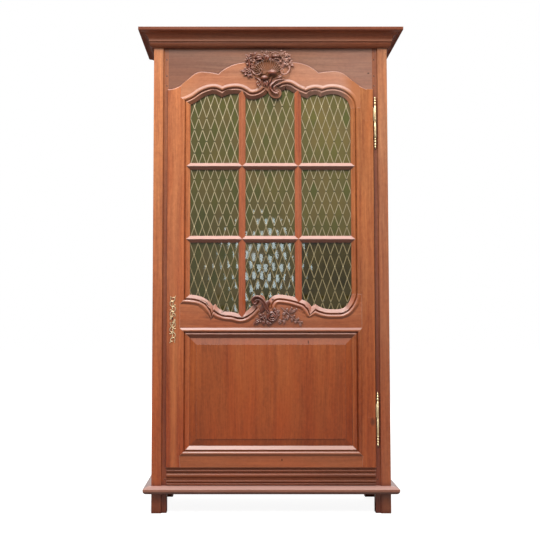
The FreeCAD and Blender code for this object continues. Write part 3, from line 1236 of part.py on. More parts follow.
save("glazing_bar_left", UPRIGHTS[0])
save("glazing_bar_right", UPRIGHTS[1])
save("glazing_crossbars", *[piece for z in CROSS_BARS for piece in cross_bar(z)])
save("glass_panels", *glass_panes())
save("came_lattice", *came_lattice())
save("glazing_beads", *glazing_beads())
save("raised_panel", door_panel())
save("crest_shell", crest_shell)
save("rail_carving", rail_carving)
for name, (post_half, door_half) in hinges.items():
    save("hinge_" + name + "_post_half", post_half)
    save("hinge_" + name + "_door_half", door_half)
save("escutcheon", escutcheon())
save("lock_case", lock_case())
save("lock_bolt", lock_bolt)
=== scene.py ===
import math

import bpy
from mathutils import Matrix, Vector
from mathutils.kdtree import KDTree


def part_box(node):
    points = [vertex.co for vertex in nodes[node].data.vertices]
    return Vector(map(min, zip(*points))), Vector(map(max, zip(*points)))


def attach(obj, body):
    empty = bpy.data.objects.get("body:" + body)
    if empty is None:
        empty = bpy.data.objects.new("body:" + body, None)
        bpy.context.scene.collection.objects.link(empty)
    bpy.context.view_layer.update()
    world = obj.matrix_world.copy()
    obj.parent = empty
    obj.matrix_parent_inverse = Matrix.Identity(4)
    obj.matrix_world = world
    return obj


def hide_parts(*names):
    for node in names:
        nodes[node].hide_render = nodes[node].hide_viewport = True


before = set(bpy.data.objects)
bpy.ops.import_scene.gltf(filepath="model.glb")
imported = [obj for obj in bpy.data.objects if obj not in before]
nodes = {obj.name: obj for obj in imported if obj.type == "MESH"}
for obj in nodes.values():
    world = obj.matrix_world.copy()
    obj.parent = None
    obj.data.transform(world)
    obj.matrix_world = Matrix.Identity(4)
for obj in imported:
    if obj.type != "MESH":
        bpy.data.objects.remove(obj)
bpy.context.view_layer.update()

for one in bpy.context.selected_objects:
    one.select_set(False)

# ---------------------------------------------------------------- posts
# Four uprights of orange-brown fruitwood from the floor to the cornice. The front two have a
# raised outer face, a cove and an inner strip that carries the door. Waxed over old varnish,
# with dust and painted shade dark in every corner, and the sharp edges worn pale under a painted
# highlight.


def tint(red, green, blue):
    """A paint-chart colour, 0 to 255, as the shader wants it."""
    channels = [value / 255 for value in (red, green, blue)]
    return tuple(c / 12.92 if c <= 0.04045 else ((c + 0.055) / 1.055) ** 2.4
                 for c in channels) + (1.0,)


def fill(node, values):
    """Fills a node's inputs with values or joins them to other nodes."""
    for name, value in values.items():
        if isinstance(value, bpy.types.NodeSocket):
            node.id_data.links.new(value, node.inputs[name])
        else:
            node.inputs[name].default_value = value
    return node


def place(tree, kind, values=None, **settings):
    """Adds a shader node with its options set and its inputs filled."""
    node = tree.nodes.new("ShaderNode" + kind)
    for name, value in settings.items():
        setattr(node, name, value)
    return fill(node, values or {})


def tree_of(*values):
    """The node tree of the sockets among some values."""
    return next(value.id_data for value in values if isinstance(value, bpy.types.NodeSocket))


def maths(kind, *values):
    return place(tree_of(*values), "Math", dict(enumerate(values)), operation=kind).outputs[0]


def times(first, second):
    return maths("MULTIPLY", first, second)


def minus(first, second):
    return maths("SUBTRACT", first, second)


def weighed(layer, weight, rest):
    """Adds a layer of the given weight to the rest."""
    return maths("MULTIPLY_ADD", layer, weight, rest)


def vectors(kind, *values):
    node = place(tree_of(*values), "VectorMath", dict(enumerate(values)), operation=kind)
    return node.outputs["Value" if kind in ("LENGTH", "DOT_PRODUCT") else "Vector"]


def share(value, low, high, out_low=0.0, out_high=1.0):
    """Spreads a value between low and high over another range, held at both ends."""
    return place(value.id_data, "MapRange", {
        "Value": value, "From Min": low, "From Max": high,
        "To Min": out_low, "To Max": out_high}).outputs["Result"]


def blend(factor, first, second, kind="MIX"):
    """Mixes two colours."""
    return place(tree_of(factor, first, second), "Mix", {0: factor, 6: first, 7: second},
                 data_type="RGBA", blend_type=kind).outputs[2]


def noise(where, scale, detail=2.0, roughness=0.5):
    return place(where.id_data, "TexNoise", {"Vector": where, "Scale": scale, "Detail": detail,
                                             "Roughness": roughness}).outputs[0]


def streaked(where, across, along, detail=2.0, roughness=0.5):
    """Noise that runs with the grain, which lies along Z."""
    drawn_out = vectors("MULTIPLY", where, (across, across, along))
    return noise(drawn_out, 1.0, detail, roughness)


def spot(tree):
    """Where a point lies on the cupboard, in metres."""
    return place(tree, "TexCoord").outputs["Object"]


def axis(where, way):
    """One of a vector's three numbers: X across, Y out from the front, Z up."""
    return place(where.id_data, "SeparateXYZ", {0: where}).outputs[way]


def effect_group(name, inputs, outputs):
    """An empty effect with named inputs, each at its usual value, and named outputs."""
    tree = bpy.data.node_groups.new(name, "ShaderNodeTree")
    for label, usual in inputs.items():
        kind = "Float" if isinstance(usual, float) else {3: "Vector", 4: "Color"}[len(usual)]
        tree.interface.new_socket(label, in_out="INPUT",
                                  socket_type="NodeSocket" + kind).default_value = usual
    for label, kind in outputs.items():
        tree.interface.new_socket(label, in_out="OUTPUT", socket_type="NodeSocket" + kind)
    return tree, tree.nodes.new("NodeGroupInput").outputs, tree.nodes.new("NodeGroupOutput")


def grain_group():
    """Sawn fruitwood: broad tone, growth streaks, fine fibres and short dark pores."""
    tree, given, result = effect_group(
        "wood grain", {"Place": (0, 0, 0), "Pale": tint(200, 125, 75),
                       "Deep": tint(120, 60, 32), "Streaks": 0.5},
        {"Colour": "Color", "Height": "Float", "Gloss": "Float"})
    where, strength = given["Place"], given["Streaks"]
    wander = times(streaked(where, 3.0, 1.2), 0.06)
    bent = vectors("ADD", where, place(tree, "CombineXYZ", {0: wander}).outputs[0])
    tone = streaked(bent, 7.0, 0.9, 3.0, 0.55)
    streak = streaked(bent, 60.0, 1.5, 4.0, 0.6)
    rings = maths("SINE", times(streaked(bent, 9.0, 0.55, 1.0), 70.0))
    fleck = streaked(bent, 210.0, 9.0, 3.0, 0.65)
    mottle = streaked(where, 95.0, 60.0, 3.0, 0.6)
    warmth = streaked(bent, 15.0, 2.4)
    fibre = streaked(where, 700.0, 14.0)
    pores = share(streaked(where, 1700.0, 60.0, 1.0), 0.62, 0.72)
    mixed = times(minus(tone, 0.5), 1.5)
    for layer, weight in ((fleck, 1.1), (mottle, 0.8), (streak, times(strength, 3.4))):
        mixed = weighed(minus(layer, 0.5), weight, mixed)
    mixed = weighed(rings, times(strength, 0.13), mixed)
    mixed = weighed(minus(fibre, 0.5), 0.28, mixed)
    colour = blend(share(mixed, -0.6, 0.6), given["Deep"], given["Pale"])
    colour = blend(share(warmth, 0.42, 0.62, 0.0, 0.8), colour, (1.0, 0.84, 0.72, 1), "MULTIPLY")
    fill(result, {
        "Colour": blend(times(pores, 0.35), colour, tint(60, 26, 12)),
        "Height": minus(times(fibre, 0.5), times(pores, 0.6)),
        "Gloss": weighed(noise(where, 14.0, 3.0), 0.16, times(pores, 0.1))})
    return tree


def wear_group():
    """Where dirt lies with painted shade in the hollows, where edges are worn pale under a painted
    highlight on those that face up, the painted light on faces that look up and the painted shade
    on those that look down, and the softened arris itself."""
    tree, given, result = effect_group(
        "dirt, wear and painted light", {"Reach": 0.012, "Arris": 0.0012, "Clean": 0.15},
        {"Dirt And Shade": "Float", "Wear And Highlight": "Float", "Normal": "Vector", "Painted Top Light": "Float",
         "Painted Under Shade": "Float"})
    open_air = place(tree, "AmbientOcclusion", {"Distance": given["Reach"]},
                     samples=6).outputs["AO"]
    soft = place(tree, "Bevel", {"Radius": given["Arris"]}, samples=6).outputs["Normal"]
    flat = place(tree, "NewGeometry").outputs["True Normal"]
    turn = vectors("DOT_PRODUCT", soft, flat)
    smear = noise(spot(tree), 38.0, 4.0)
    upward = axis(flat, "Z")
    # Dirt with painted shade: darker where the air is close, less on faces that look up.
    dirt_and_shade = share(weighed(minus(smear, 0.5), 0.5, minus(1.0, open_air)), given["Clean"], 0.62)
    # Worn pale arrises, kept to the open ones and strongest where they face up: wear with a
    # painted highlight.
    wear_and_highlight = share(minus(1.0, turn), 0.02, 0.16)
    for kept in (share(open_air, 0.7, 0.95), share(smear, 0.3, 0.5, 0.5, 1.0),
                 share(axis(soft, "Z"), -0.1, 0.25, 0.25, 1.0)):
        wear_and_highlight = times(wear_and_highlight, kept)
    # Painted light on faces that look up, painted shade on faces that look down.
    fill(result, {
        "Dirt And Shade": times(dirt_and_shade, share(upward, 0.1, 0.8, 1.0, 0.35)),
        "Wear And Highlight": wear_and_highlight, "Normal": soft,
        "Painted Top Light": times(share(upward, 0.08, 0.45), share(open_air, 0.4, 0.8)),
        "Painted Under Shade": share(upward, -0.1, -0.45)})
    return tree


GRAIN = grain_group()
WEAR = wear_group()
GRAIN_TURN = {"x": (0, math.radians(90), 0), "y": (math.radians(90), 0, 0), "z": (0, 0, 0)}


def new_finish(name):
    """A material with its tree, its shader and the place of each point."""
    material = bpy.data.materials.new(name)
    material.use_nodes = True
    tree = material.node_tree
    return material, tree, tree.nodes["Principled BSDF"], spot(tree)


def fruitwood(name, grain, pale, deep, streaks=0.5, shift=(0, 0, 0), roughness=0.27, dirt_and_shade=0.85,
              wear_and_highlight=0.6, coat=0.4, reach=0.011, arris=0.0014, clean=0.15, gloss=0.24,
              painted_shade_under=None, painted_top_light=0.0, painted_under_shade=0.0):
    """Waxed and varnished wood with its grain along x, y or z, with painted shade that darkens it
    towards the floor. Painted light pales the faces that look up and painted shade darkens those
    that look down, and the last argument is the height under which painted shade darkens the feet."""
    material, tree, surface, where = new_finish(name)
    wood = place(tree, "Group", {
        "Place": place(tree, "Mapping", {"Vector": where, "Location": shift,
                                         "Rotation": GRAIN_TURN[grain]}).outputs[0],
        "Pale": tint(*pale), "Deep": tint(*deep), "Streaks": streaks}, node_tree=GRAIN).outputs
    worn = place(tree, "Group", {"Reach": reach, "Arris": arris, "Clean": clean},
                 node_tree=WEAR).outputs
    height = axis(where, "Z")
    # Darker and redder towards the floor: painted shade where the light falls off downward, with a
    # redder tone low down.
    colour = blend(share(height, 1.75, 0.35), wood["Colour"], (0.68, 0.44, 0.36, 1), "MULTIPLY")
    # Painted light on the faces that look up and painted shade on those that look down.
    for label, strength, stain_and_painted_light in (("Painted Top Light", painted_top_light, (190, 160, 154)),
                                   ("Painted Under Shade", painted_under_shade, (64, 30, 22))):
        if strength:
            colour = blend(times(worn[label], strength), colour, tint(*stain_and_painted_light))
    # Painted shade on the feet, under the base moulding.
    if painted_shade_under:
        painted_shade_low = share(height, painted_shade_under + 0.012, painted_shade_under - 0.012, 0.0, 0.5)
        colour = blend(painted_shade_low, colour, tint(70, 34, 24))
    # Worn pale edges with a painted highlight, then dirt with painted shade in the hollows.
    for label, strength, stain_and_painted_light in (("Wear And Highlight", wear_and_highlight, (240, 200, 176)),
                                   ("Dirt And Shade", dirt_and_shade, (80, 34, 22))):
        colour = blend(times(worn[label], strength), colour, tint(*stain_and_painted_light))
    fill(surface, {
        "Base Color": colour, "Roughness": maths("ADD", wood["Gloss"], roughness),
        "Normal": place(tree, "Bump", {"Strength": 0.12, "Distance": 0.0006,
                                       "Height": wood["Height"],
                                       "Normal": worn["Normal"]}).outputs[0],
        "Specular IOR Level": gloss, "Coat Weight": coat, "Coat Roughness": 0.2})
    return material


def finish_nodes(material, slot, *names):
    """Gives CAD nodes their finish."""
    for name in names:
        piece = nodes[name]
        piece.data.materials.clear()
        piece.data.materials.append(material)


def tone_in(material, mask, stain_and_painted_light):
    """Lays a colour over a finished material where the mask is, for stains and for painted light
    and shade.
    """
    tree = material.node_tree
    base = tree.nodes["Principled BSDF"].inputs["Base Color"]
    tree.links.new(blend(mask, base.links[0].from_socket, tint(*stain_and_painted_light)), base)


# The right post is painted darker than the left: painted shade, as the light falls from the left.
for side, pale, deep, shift in (("left", (216, 142, 88), (160, 92, 52), (0, 0, 0)),
                                ("right", (196, 134, 92), (140, 84, 54), (0.4, 0.1, 0.3))):
    post_wood = fruitwood(f"{side} post wood", "z", pale, deep, 0.5, shift, reach=0.024,
                          clean=0.03, painted_shade_under=0.09)
    tree = post_wood.node_tree
    # Painted shade on the strip beside the door, fading out across the raised face's inner edge.
    from_middle = maths("ABSOLUTE", axis(spot(tree), "X"))
    strip_shade = share(from_middle, 0.49, 0.474, 0.0, 0.5)  # the strip beside the door
    tone_in(post_wood, strip_shade, (96, 36, 22))
    finish_nodes(post_wood, "carcase_wood", f"post_front_{side}", f"post_back_{side}")

# ---------------------------------------------------------------- front rails
# The frieze rail, cut away over the door's arch, and the reeded rail under the door, both
# tenoned into the posts. The frieze is greyer, because it lies in the cornice's shade.


def fade_in(material, way, start, end, strength, stain_and_painted_light):
    """Lets another tone come in from one place to another, across (X) or up the front (Z)."""
    tree = material.node_tree
    mask = share(axis(spot(tree), way), start, end, 0.0, strength)
    tone_in(material, mask, stain_and_painted_light)


def apart_from(where, middle, per_metre):
    """How far a point lies from a middle, with each way stretched by its own amount."""
    offset = vectors("SUBTRACT", where, middle)
    return vectors("LENGTH", vectors("MULTIPLY", offset, per_metre))


def knot_group():
    """A small ragged spot, seen from the front."""
    tree, given, result = effect_group(
        "knot", {"Middle": (0, 0, 0), "Per Metre": (1, 0, 1)}, {"Spot": "Float"})
    where = spot(tree)
    distance = apart_from(where, given["Middle"], given["Per Metre"])
    ragged = weighed(noise(where, 180.0, 3.0), 0.9, distance)
    fill(result, {"Spot": share(ragged, 1.6, 0.9)})
    return tree


KNOT = knot_group()


def knot(material, x, z, wide, high, strength=0.8):
    """A small dark knot or bruise on the front, at (x, z) in metres."""
    tree = material.node_tree
    mark = place(tree, "Group", {"Middle": (x, 0, z), "Per Metre": (1 / wide, 0, 1 / high)},
                 node_tree=KNOT)
    tone_in(material, times(mark.outputs["Spot"], strength), (46, 24, 16))


frieze_wood = fruitwood("frieze wood", "x", (160, 114, 90), (116, 78, 60), 0.45,
                        shift=(0.3, 0, 0.7), coat=0.3)
# Painted shade darkens the frieze towards its left end and painted light pales it towards its
# right end.
fade_in(frieze_wood, "X", -0.1, -0.4, 0.5, (112, 66, 46))
fade_in(frieze_wood, "X", 0.1, 0.4, 0.16, (196, 160, 150))
knot(frieze_wood, 0.4426, 1.9546, 0.006, 0.004)
finish_nodes(frieze_wood, "carcase_wood", "frieze_rail")
low_rail_wood = fruitwood("low rail wood", "x", (160, 108, 72), (110, 68, 44), coat=0.1,
                          roughness=0.4, dirt_and_shade=0.5, painted_top_light=0.04, painted_under_shade=0.15)
finish_nodes(low_rail_wood, "carcase_wood", "bottom_front_rail")

# ---------------------------------------------------------------- draw pegs
# Split oak pegs driven through the mortises of the carcase, which draw the joints tight. Their
# end grain is darker than the posts.
peg_wood = fruitwood("peg end grain", "y", (110, 62, 36), (64, 32, 18), 0.8, coat=0.1)
finish_nodes(peg_wood, "peg_wood", "frame_pegs")

# ---------------------------------------------------------------- sides and back
# Framed sides with two bevelled panels each, in the same fruitwood, and a back of the same
# make in plainer, unpolished boards.
side_tones = (176, 98, 54), (124, 62, 30)
side_panel_wood = fruitwood("side panel wood", "z", *side_tones, 0.6, shift=(0.2, 0.4, 0))
finish_nodes(side_panel_wood, "carcase_wood", *[
    f"side_{level}_panel_{side}" for level in ("upper", "lower") for side in ("left", "right")])
side_rail_wood = fruitwood("side rail wood", "y", *side_tones)
finish_nodes(side_rail_wood, "carcase_wood", *[
    f"side_{level}_rail_{side}" for level in ("top", "middle", "bottom")
    for side in ("left", "right")])
back_tones = (158, 104, 68), (104, 62, 38)
back_rail_wood = fruitwood("back rail wood", "x", *back_tones, 0.6, roughness=0.5, coat=0.0)
finish_nodes(back_rail_wood, "inner_wood", "back_top_rail", "back_middle_rail", "back_bottom_rail")
back_panel_wood = fruitwood("back panel wood", "z", *back_tones, 0.8, roughness=0.5, coat=0.0)
finish_nodes(back_panel_wood, "inner_wood", "back_upper_panel", "back_lower_panel")

# ---------------------------------------------------------------- shelves and boards
# Bottom board, top board and three shelves of paler wood, planed and left without varnish.
# The shelves rest on cleats that run along the sides.
bare_tones = (186, 136, 88), (132, 88, 52)
shelf_wood = fruitwood("shelf wood", "x", *bare_tones, 0.7, roughness=0.52, coat=0.0)
finish_nodes(shelf_wood, "inner_wood", "shelf_lower", "shelf_middle", "shelf_upper",
             "bottom_board", "top_board")
cleat_wood = fruitwood("cleat wood", "y", *bare_tones, 0.7, roughness=0.52, coat=0.0)
finish_nodes(cleat_wood, "inner_wood", "cleats")

# ---------------------------------------------------------------- cornice and base moulding
# Coved cornice and round-nosed base moulding, run in lengths and mitred at the front corners.
# Painted shade darkens the cornice under its top and at its foot, and a painted highlight runs
# along a bead between.
cornice_wood = fruitwood("cornice wood", "x", (154, 92, 66), (104, 58, 39),
                         shift=(0, 0, 0.2), coat=0.12, gloss=0.1)
# Painted shade under the cornice's top, a painted highlight along the bead and painted shade at
# its foot.
fade_in(cornice_wood, "Z", 2.106, 2.124, 0.45, (84, 34, 20))
tree = cornice_wood.node_tree
from_bead = maths("ABSOLUTE", minus(axis(spot(tree), "Z"), 2.098))
tone_in(cornice_wood, share(from_bead, 0.01, 0.003, 0.0, 0.3), (206, 150, 124))
fade_in(cornice_wood, "Z", 2.095, 2.089, 0.35, (78, 42, 28))
finish_nodes(cornice_wood, "carcase_wood", "cornice_front")
# The returns are painted darker and redder than the front: painted shade with a painted red
# reflection.
return_wood = fruitwood("cornice return wood", "y", (134, 72, 48), (90, 42, 28),
                        roughness=0.5, coat=0.0, gloss=0.04)
finish_nodes(return_wood, "carcase_wood", "cornice_left", "cornice_right")
# The front's pale pinkish colour is a painted sheen of the light from above on its top.
base_wood = fruitwood("base moulding wood", "x", (196, 164, 150), (156, 124, 112), 0.4,
                      painted_top_light=0.5, painted_under_shade=0.75)
finish_nodes(base_wood, "carcase_wood", "base_moulding_front")
# The returns are painted darker than the front: painted shade.
base_return_wood = fruitwood("base return wood", "y", (160, 104, 80), (116, 70, 52), 0.4)
finish_nodes(base_return_wood, "carcase_wood", "base_moulding_left", "base_moulding_right")

# ---------------------------------------------------------------- door frame
# Two stiles and three rails, tenoned together, with the scroll moulding worked in the solid and
# mitred at the corners. The left stile has a pale streak of sapwood.
stile_finish = dict(arris=0.0028, coat=0.6, gloss=0.12, painted_top_light=0.4, painted_under_shade=0.6)
lock_stile_wood = fruitwood("lock stile wood", "z", (206, 130, 80), (148, 78, 42), 0.55,
                            shift=(0.11, 0, 0.4), **stile_finish)
tree = lock_stile_wood.node_tree
where = spot(tree)
drift = weighed(streaked(where, 0.0, 2.2), 0.03, axis(where, "X"))
from_streak = maths("ABSOLUTE", maths("ADD", drift, 0.414))
sapwood = times(share(from_streak, 0.02, 0.006, 0.0, 0.13),
                share(axis(where, "Z"), 1.3, 0.6, 0.25, 1.0))
tone_in(lock_stile_wood, sapwood, (222, 158, 96))
# The hinge stile is painted a little darker than the lock stile: painted shade, as the light falls
# from the left.
hinge_stile_wood = fruitwood("hinge stile wood", "z", (198, 128, 74), (138, 72, 33),
                             shift=(0.71, 0, 0.1), **stile_finish)
knot(hinge_stile_wood, 0.4485, 0.396, 0.012, 0.02, 0.6)
rail_finish = dict(shift=(0, 0, 0.35), arris=0.0028, wear_and_highlight=0.85, coat=0.55, gloss=0.06)
top_rail_wood = fruitwood("top rail wood", "x", (190, 132, 100), (148, 92, 66), 0.45,
                          painted_top_light=0.5, painted_under_shade=0.75, **rail_finish)
# Painted light pales the top rail towards its right side.
fade_in(top_rail_wood, "X", 0.0, 0.3, 0.16, (232, 196, 178))
fade_in(top_rail_wood, "X", 0.32, 0.37, 0.9, (170, 104, 62))
fade_in(top_rail_wood, "X", -0.31, -0.38, 0.4, (194, 122, 76))
knot(top_rail_wood, 0.02, 1.87, 0.042, 0.04, 0.5)
door_rail_wood = fruitwood("door rail wood", "x", (196, 128, 86), (146, 88, 56), 0.45,
                           painted_top_light=0.55, painted_under_shade=0.7, **rail_finish)
fade_in(door_rail_wood, "Z", 0.5, 0.3, 0.09, (190, 142, 100))
knot(door_rail_wood, -0.274, 0.8567, 0.03, 0.012, 0.3)
knot(door_rail_wood, 0.0478, 0.231, 0.004, 0.006)

door_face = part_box("escutcheon")[1].y                      # the plane of the stiles' front
quirk_depth, worked_quirk_depth = 0.002, 0.004             # the groove beside the ridge
ridge_height, worked_ridge_height = 0.0055, 0.0043
shoulder_height, worked_shoulder_height = 0.003, 0.0006    # the band next to the opening
lip_side = 0.4625                                          # just inside the lip's outer edge


def copy_of(source, name):
    """A loose copy of a piece, with its own mesh."""
    piece = source.copy()
    piece.data = source.data.copy()
    piece.parent = None
    piece.name = name
    bpy.context.scene.collection.objects.link(piece)
    return piece


def open_mesh():
    """Takes the active piece into edit mode with everything selected."""
    bpy.ops.object.mode_set(mode="EDIT")
    bpy.ops.mesh.select_all(action="SELECT")


def close_mesh():
    bpy.ops.object.mode_set(mode="OBJECT")


def round_between(piece, wanted, width, segments):
    """Rounds the edges whose two ends are both wanted."""
    for edge in piece.data.edges:
        edge.select = all(wanted(piece.data.vertices[number].co) for number in edge.vertices)
    bpy.ops.object.mode_set(mode="EDIT")
    bpy.ops.mesh.bevel(offset=width, segments=segments, profile=0.5)
    bpy.ops.mesh.select_all(action="DESELECT")
    close_mesh()


def corners_at(piece, depth, slack=0.0003):
    """The corners of a piece that lie at one depth behind the door's face."""
    return [one for one in piece.data.vertices if abs(one.co.y - door_face - depth) < slack]


def push_away(corners, line, nearest, furthest, push):
    """Pushes corners away from a line that runs beside them, and returns those pushed."""
    beside_line = KDTree(len(line))
    for number, one in enumerate(line):
        beside_line.insert((one.co.x, 0, one.co.z), number)
    beside_line.balance()
    pushed = []
    for one in corners:
        beside, _, gap = beside_line.find((one.co.x, 0, one.co.z))
        if nearest < gap < furthest:
            one.co += Vector((one.co.x - beside.x, 0, one.co.z - beside.z)) * push
            pushed.append(one)
    return pushed


def worked_frame(name, material, lip_over=None):
    """A frame member with its moulding worked crisp: the band's shoulder drawn in, the quirk
    sunk, the ridge eased and its outer slope run out. At the door's sides, and above the height
    lip_over, the lip is rounded over."""
    piece = copy_of(nodes[name], f"worked_{name}")
    bpy.context.view_layer.objects.active = piece
    piece.select_set(True)
    bpy.ops.mesh.customdata_custom_splitnormals_clear()
    open_mesh()
    bpy.ops.mesh.remove_doubles(threshold=0.00002)
    close_mesh()
    quirk, ridge = corners_at(piece, quirk_depth), corners_at(piece, -ridge_height)
    shoulder, face = corners_at(piece, -shoulder_height), corners_at(piece, 0.0, 0.0001)
    shoulder = push_away(shoulder, quirk, nearest=0.0028, furthest=0.0045, push=1.3)
    push_away(face, ridge, nearest=0.0057, furthest=0.0088, push=0.65)
    for corners, depth in ((shoulder, -worked_shoulder_height), (quirk, worked_quirk_depth),
                           (ridge, -worked_ridge_height)):
        for one in corners:
            one.co.y = door_face + depth
    open_mesh()
    bpy.ops.mesh.select_mode(type="VERT")
    bpy.ops.mesh.dissolve_limited(angle_limit=math.radians(0.4))
    bpy.ops.mesh.select_all(action="DESELECT")
    bpy.ops.mesh.select_mode(type="EDGE")
    close_mesh()
    round_between(piece, lambda end: abs(end.y - door_face + worked_shoulder_height) < 0.0001,
                  0.0012, 2)
    if lip_over:
        round_between(piece, lambda end: abs(end.y - door_face) < 0.0001 and (
            end.z > lip_over or abs(end.x) > lip_side), 0.0045, 4)
    bpy.ops.object.shade_smooth_by_angle(angle=math.radians(14))
    for face in piece.data.polygons:
        face.use_smooth = face.use_smooth and face.normal.y > -0.9999
    piece.select_set(False)
    piece.data.materials.clear()
    piece.data.materials.append(material)
    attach(piece, "door")
    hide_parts(name)


worked_frame("door_stile_left", lock_stile_wood, lip_over=1.88)
worked_frame("door_stile_right", hinge_stile_wood, lip_over=1.88)
worked_frame("door_top_rail", top_rail_wood, lip_over=1.925)
worked_frame("door_middle_rail", door_rail_wood)
worked_frame("door_bottom_rail", door_rail_wood)

# ---------------------------------------------------------------- glazing bars
# Two uprights and six short cross bars with a ridge along the front, scribed to one another,
# and the plain beads that hold the glass from behind.
bar_wood = fruitwood("upright bar wood", "z", (196, 118, 76), (142, 72, 42), 0.4)
finish_nodes(bar_wood, "door_wood", "glazing_bar_left", "glazing_bar_right")
cross_bar_wood = fruitwood("cross bar wood", "x", (186, 116, 80), (140, 76, 48), 0.4,
                           coat=0.6, painted_top_light=0.4, painted_under_shade=0.7)
finish_nodes(cross_bar_wood, "door_wood", "glazing_crossbars")
bead_wood = fruitwood("bead wood", "z", (176, 104, 60), (118, 60, 34), 0.4, coat=0.1)
finish_nodes(bead_wood, "inner_wood", "glazing_beads")

# ---------------------------------------------------------------- leaded glass
# Nine panels of olive glass in lozenge quarries. Every quarry is a separate piece, so each lies
# at its own slight tilt, has its own tone, and is bellied a little by the lead round it.
column_splits, row_splits = (-0.1275, 0.1235), (1.203, 1.531)   # the middles of the bars
pane_columns = ((-0.36, 0.03625), (-0.1125, 0.03683), (0.1385, 0.03692))  # left, lozenge width
lozenge_height = 0.106
crossings = (1.134, 1.472, 1.804)       # a height where cames cross, in each row of panes


def stepped(value, splits, levels):
    """Goes on from one level to the next where the value passes each split."""
    level = levels[0]
    for split, before, after in zip(splits, levels, levels[1:]):
        past = maths("GREATER_THAN", value, split)
        level = weighed(past, after - before, level)
    return level


def lattice_group():
    """The lozenge net: which quarry a point lies in, how near it is to a came's middle, whether
    it is in the lower right panel, and how far it is from its quarry's middle."""
    tree, given, result = effect_group("lozenge net", {"Place": (0, 0, 0)}, {
        "Quarry": "Vector", "Came": "Float", "Lower Right": "Float", "Off Centre": "Vector"})
    across, up = [axis(given["Place"], way) for way in "XZ"]
    left, pitch = [stepped(across, column_splits, levels) for levels in zip(*pane_columns)]
    column = maths("DIVIDE", minus(across, left), pitch)
    row = maths("DIVIDE", minus(up, stepped(up, row_splits, crossings)), lozenge_height)
    falling = maths("ADD", maths("ADD", row, column), 0.5)
    rising = maths("ADD", minus(row, column), 0.5)
    near = maths("MINIMUM", maths("PINGPONG", falling, 0.5), maths("PINGPONG", rising, 0.5))
    part_down, part_up = [minus(maths("FRACT", line), 0.5) for line in (falling, rising)]
    fill(result, {
        "Quarry": place(tree, "CombineXYZ", {
            0: maths("FLOOR", falling), 1: maths("FLOOR", rising),
            2: stepped(across, column_splits, (0.0, 1.0, 8.0))}).outputs[0],
        "Came": share(near, 0.05, 0.02),
        "Lower Right": times(maths("GREATER_THAN", across, column_splits[1]),
                             maths("LESS_THAN", up, row_splits[0])),
        "Off Centre": place(tree, "CombineXYZ", {
            0: minus(part_down, part_up),
            2: maths("ADD", part_down, part_up)}).outputs[0]})
    return tree


NET = lattice_group()
antique_glass, tree, surface, where = new_finish("antique glass")
net = place(tree, "Group", {"Place": where}, node_tree=NET).outputs
chance = place(tree, "TexWhiteNoise", {"Vector": net["Quarry"]}, noise_dimensions="3D").outputs
colour = blend(chance["Value"], tint(84, 86, 40), tint(106, 92, 54))
colour = blend(net["Lower Right"], colour, tint(54, 46, 4))
colour = blend(share(noise(where, 9.0), 0.4, 0.65, 0.0, 0.3), colour, tint(122, 108, 52))
# Painted light and shade: the glass is painted lighter towards the top and the right, and darker
# round the glints of the far window.
light = times(share(axis(where, "Z"), 0.95, 1.7, 0.78, 1.38),
              share(axis(where, "X"), -0.3, 0.25, 0.88, 1.16))
from_glints = apart_from(where, (0.02, 0, 1.0), (6.5, 0, 5.0))
light = times(light, share(from_glints, 0.7, 1.2, 0.68, 1.0))
grey = place(tree, "CombineColor", {0: light, 1: light, 2: light}).outputs[0]
tilt = vectors("SUBTRACT", chance["Color"], (0.5, 0.5, 0.5))
tilt = vectors("MULTIPLY", tilt, (0.02, 0.0, 0.03))
belly = vectors("MULTIPLY_ADD", net["Off Centre"], (0.042, 0.0, 0.05), tilt)
ripple = place(tree, "Bump", {"Strength": 1.0, "Distance": 0.00012,
                              "Height": streaked(where, 120.0, 50.0)}).outputs[0]
fill(surface, {
    "Base Color": blend(1.0, colour, grey, "MULTIPLY"),
    "Normal": vectors("NORMALIZE", vectors("ADD", ripple, belly)),
    "Roughness": 0.05, "IOR": 1.5, "Specular IOR Level": 0.17, "Transmission Weight": 0.4})
finish_nodes(antique_glass, "antique_glass", "glass_panels")

# ---------------------------------------------------------------- cames
# Thin lead cames crossing in lozenges. A bright brassy rib runs down the middle of each, and
# the lead beside it has gone dark.
came_metal, tree, surface, where = new_finish("came metal")
net = place(tree, "Group", {"Place": where}, node_tree=NET).outputs
dull = noise(where, 34.0, 4.0)
rib = blend(dull, tint(140, 128, 92), tint(196, 180, 140))
fill(surface, {"Base Color": blend(net["Came"], tint(78, 72, 48), rib),
               "Roughness": share(dull, 0.3, 0.7, 0.35, 0.55), "Metallic": 0.3})
fade_in(came_metal, "Z", 1.35, 1.1, 0.5, (92, 76, 42))
finish_nodes(came_metal, "lead_came", "came_lattice")

# ---------------------------------------------------------------- backs of the cames
# The same cames on the inside of the glass. A came is one H-shaped strip of lead, so the net
# shows from both sides.
back_cames = copy_of(nodes["came_lattice"], "back_cames")
came_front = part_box("came_lattice")[0].y
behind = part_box("glass_panels")[1].y - came_front - 0.0001
back_cames.data.transform(Matrix.Translation((0, behind, 0)))
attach(back_cames, "door")

# ---------------------------------------------------------------- solder drops
# A drop of solder holds the cames wherever two cross clear of the wood. Where one has been
# wiped it is still bright.


def joined(pieces, name):
    """Makes one piece of several."""
    for piece in pieces:
        piece.select_set(True)
    bpy.context.view_layer.objects.active = pieces[0]
    if len(pieces) > 1:
        bpy.ops.object.join()
    whole = bpy.context.object
    whole.name = name
    return whole


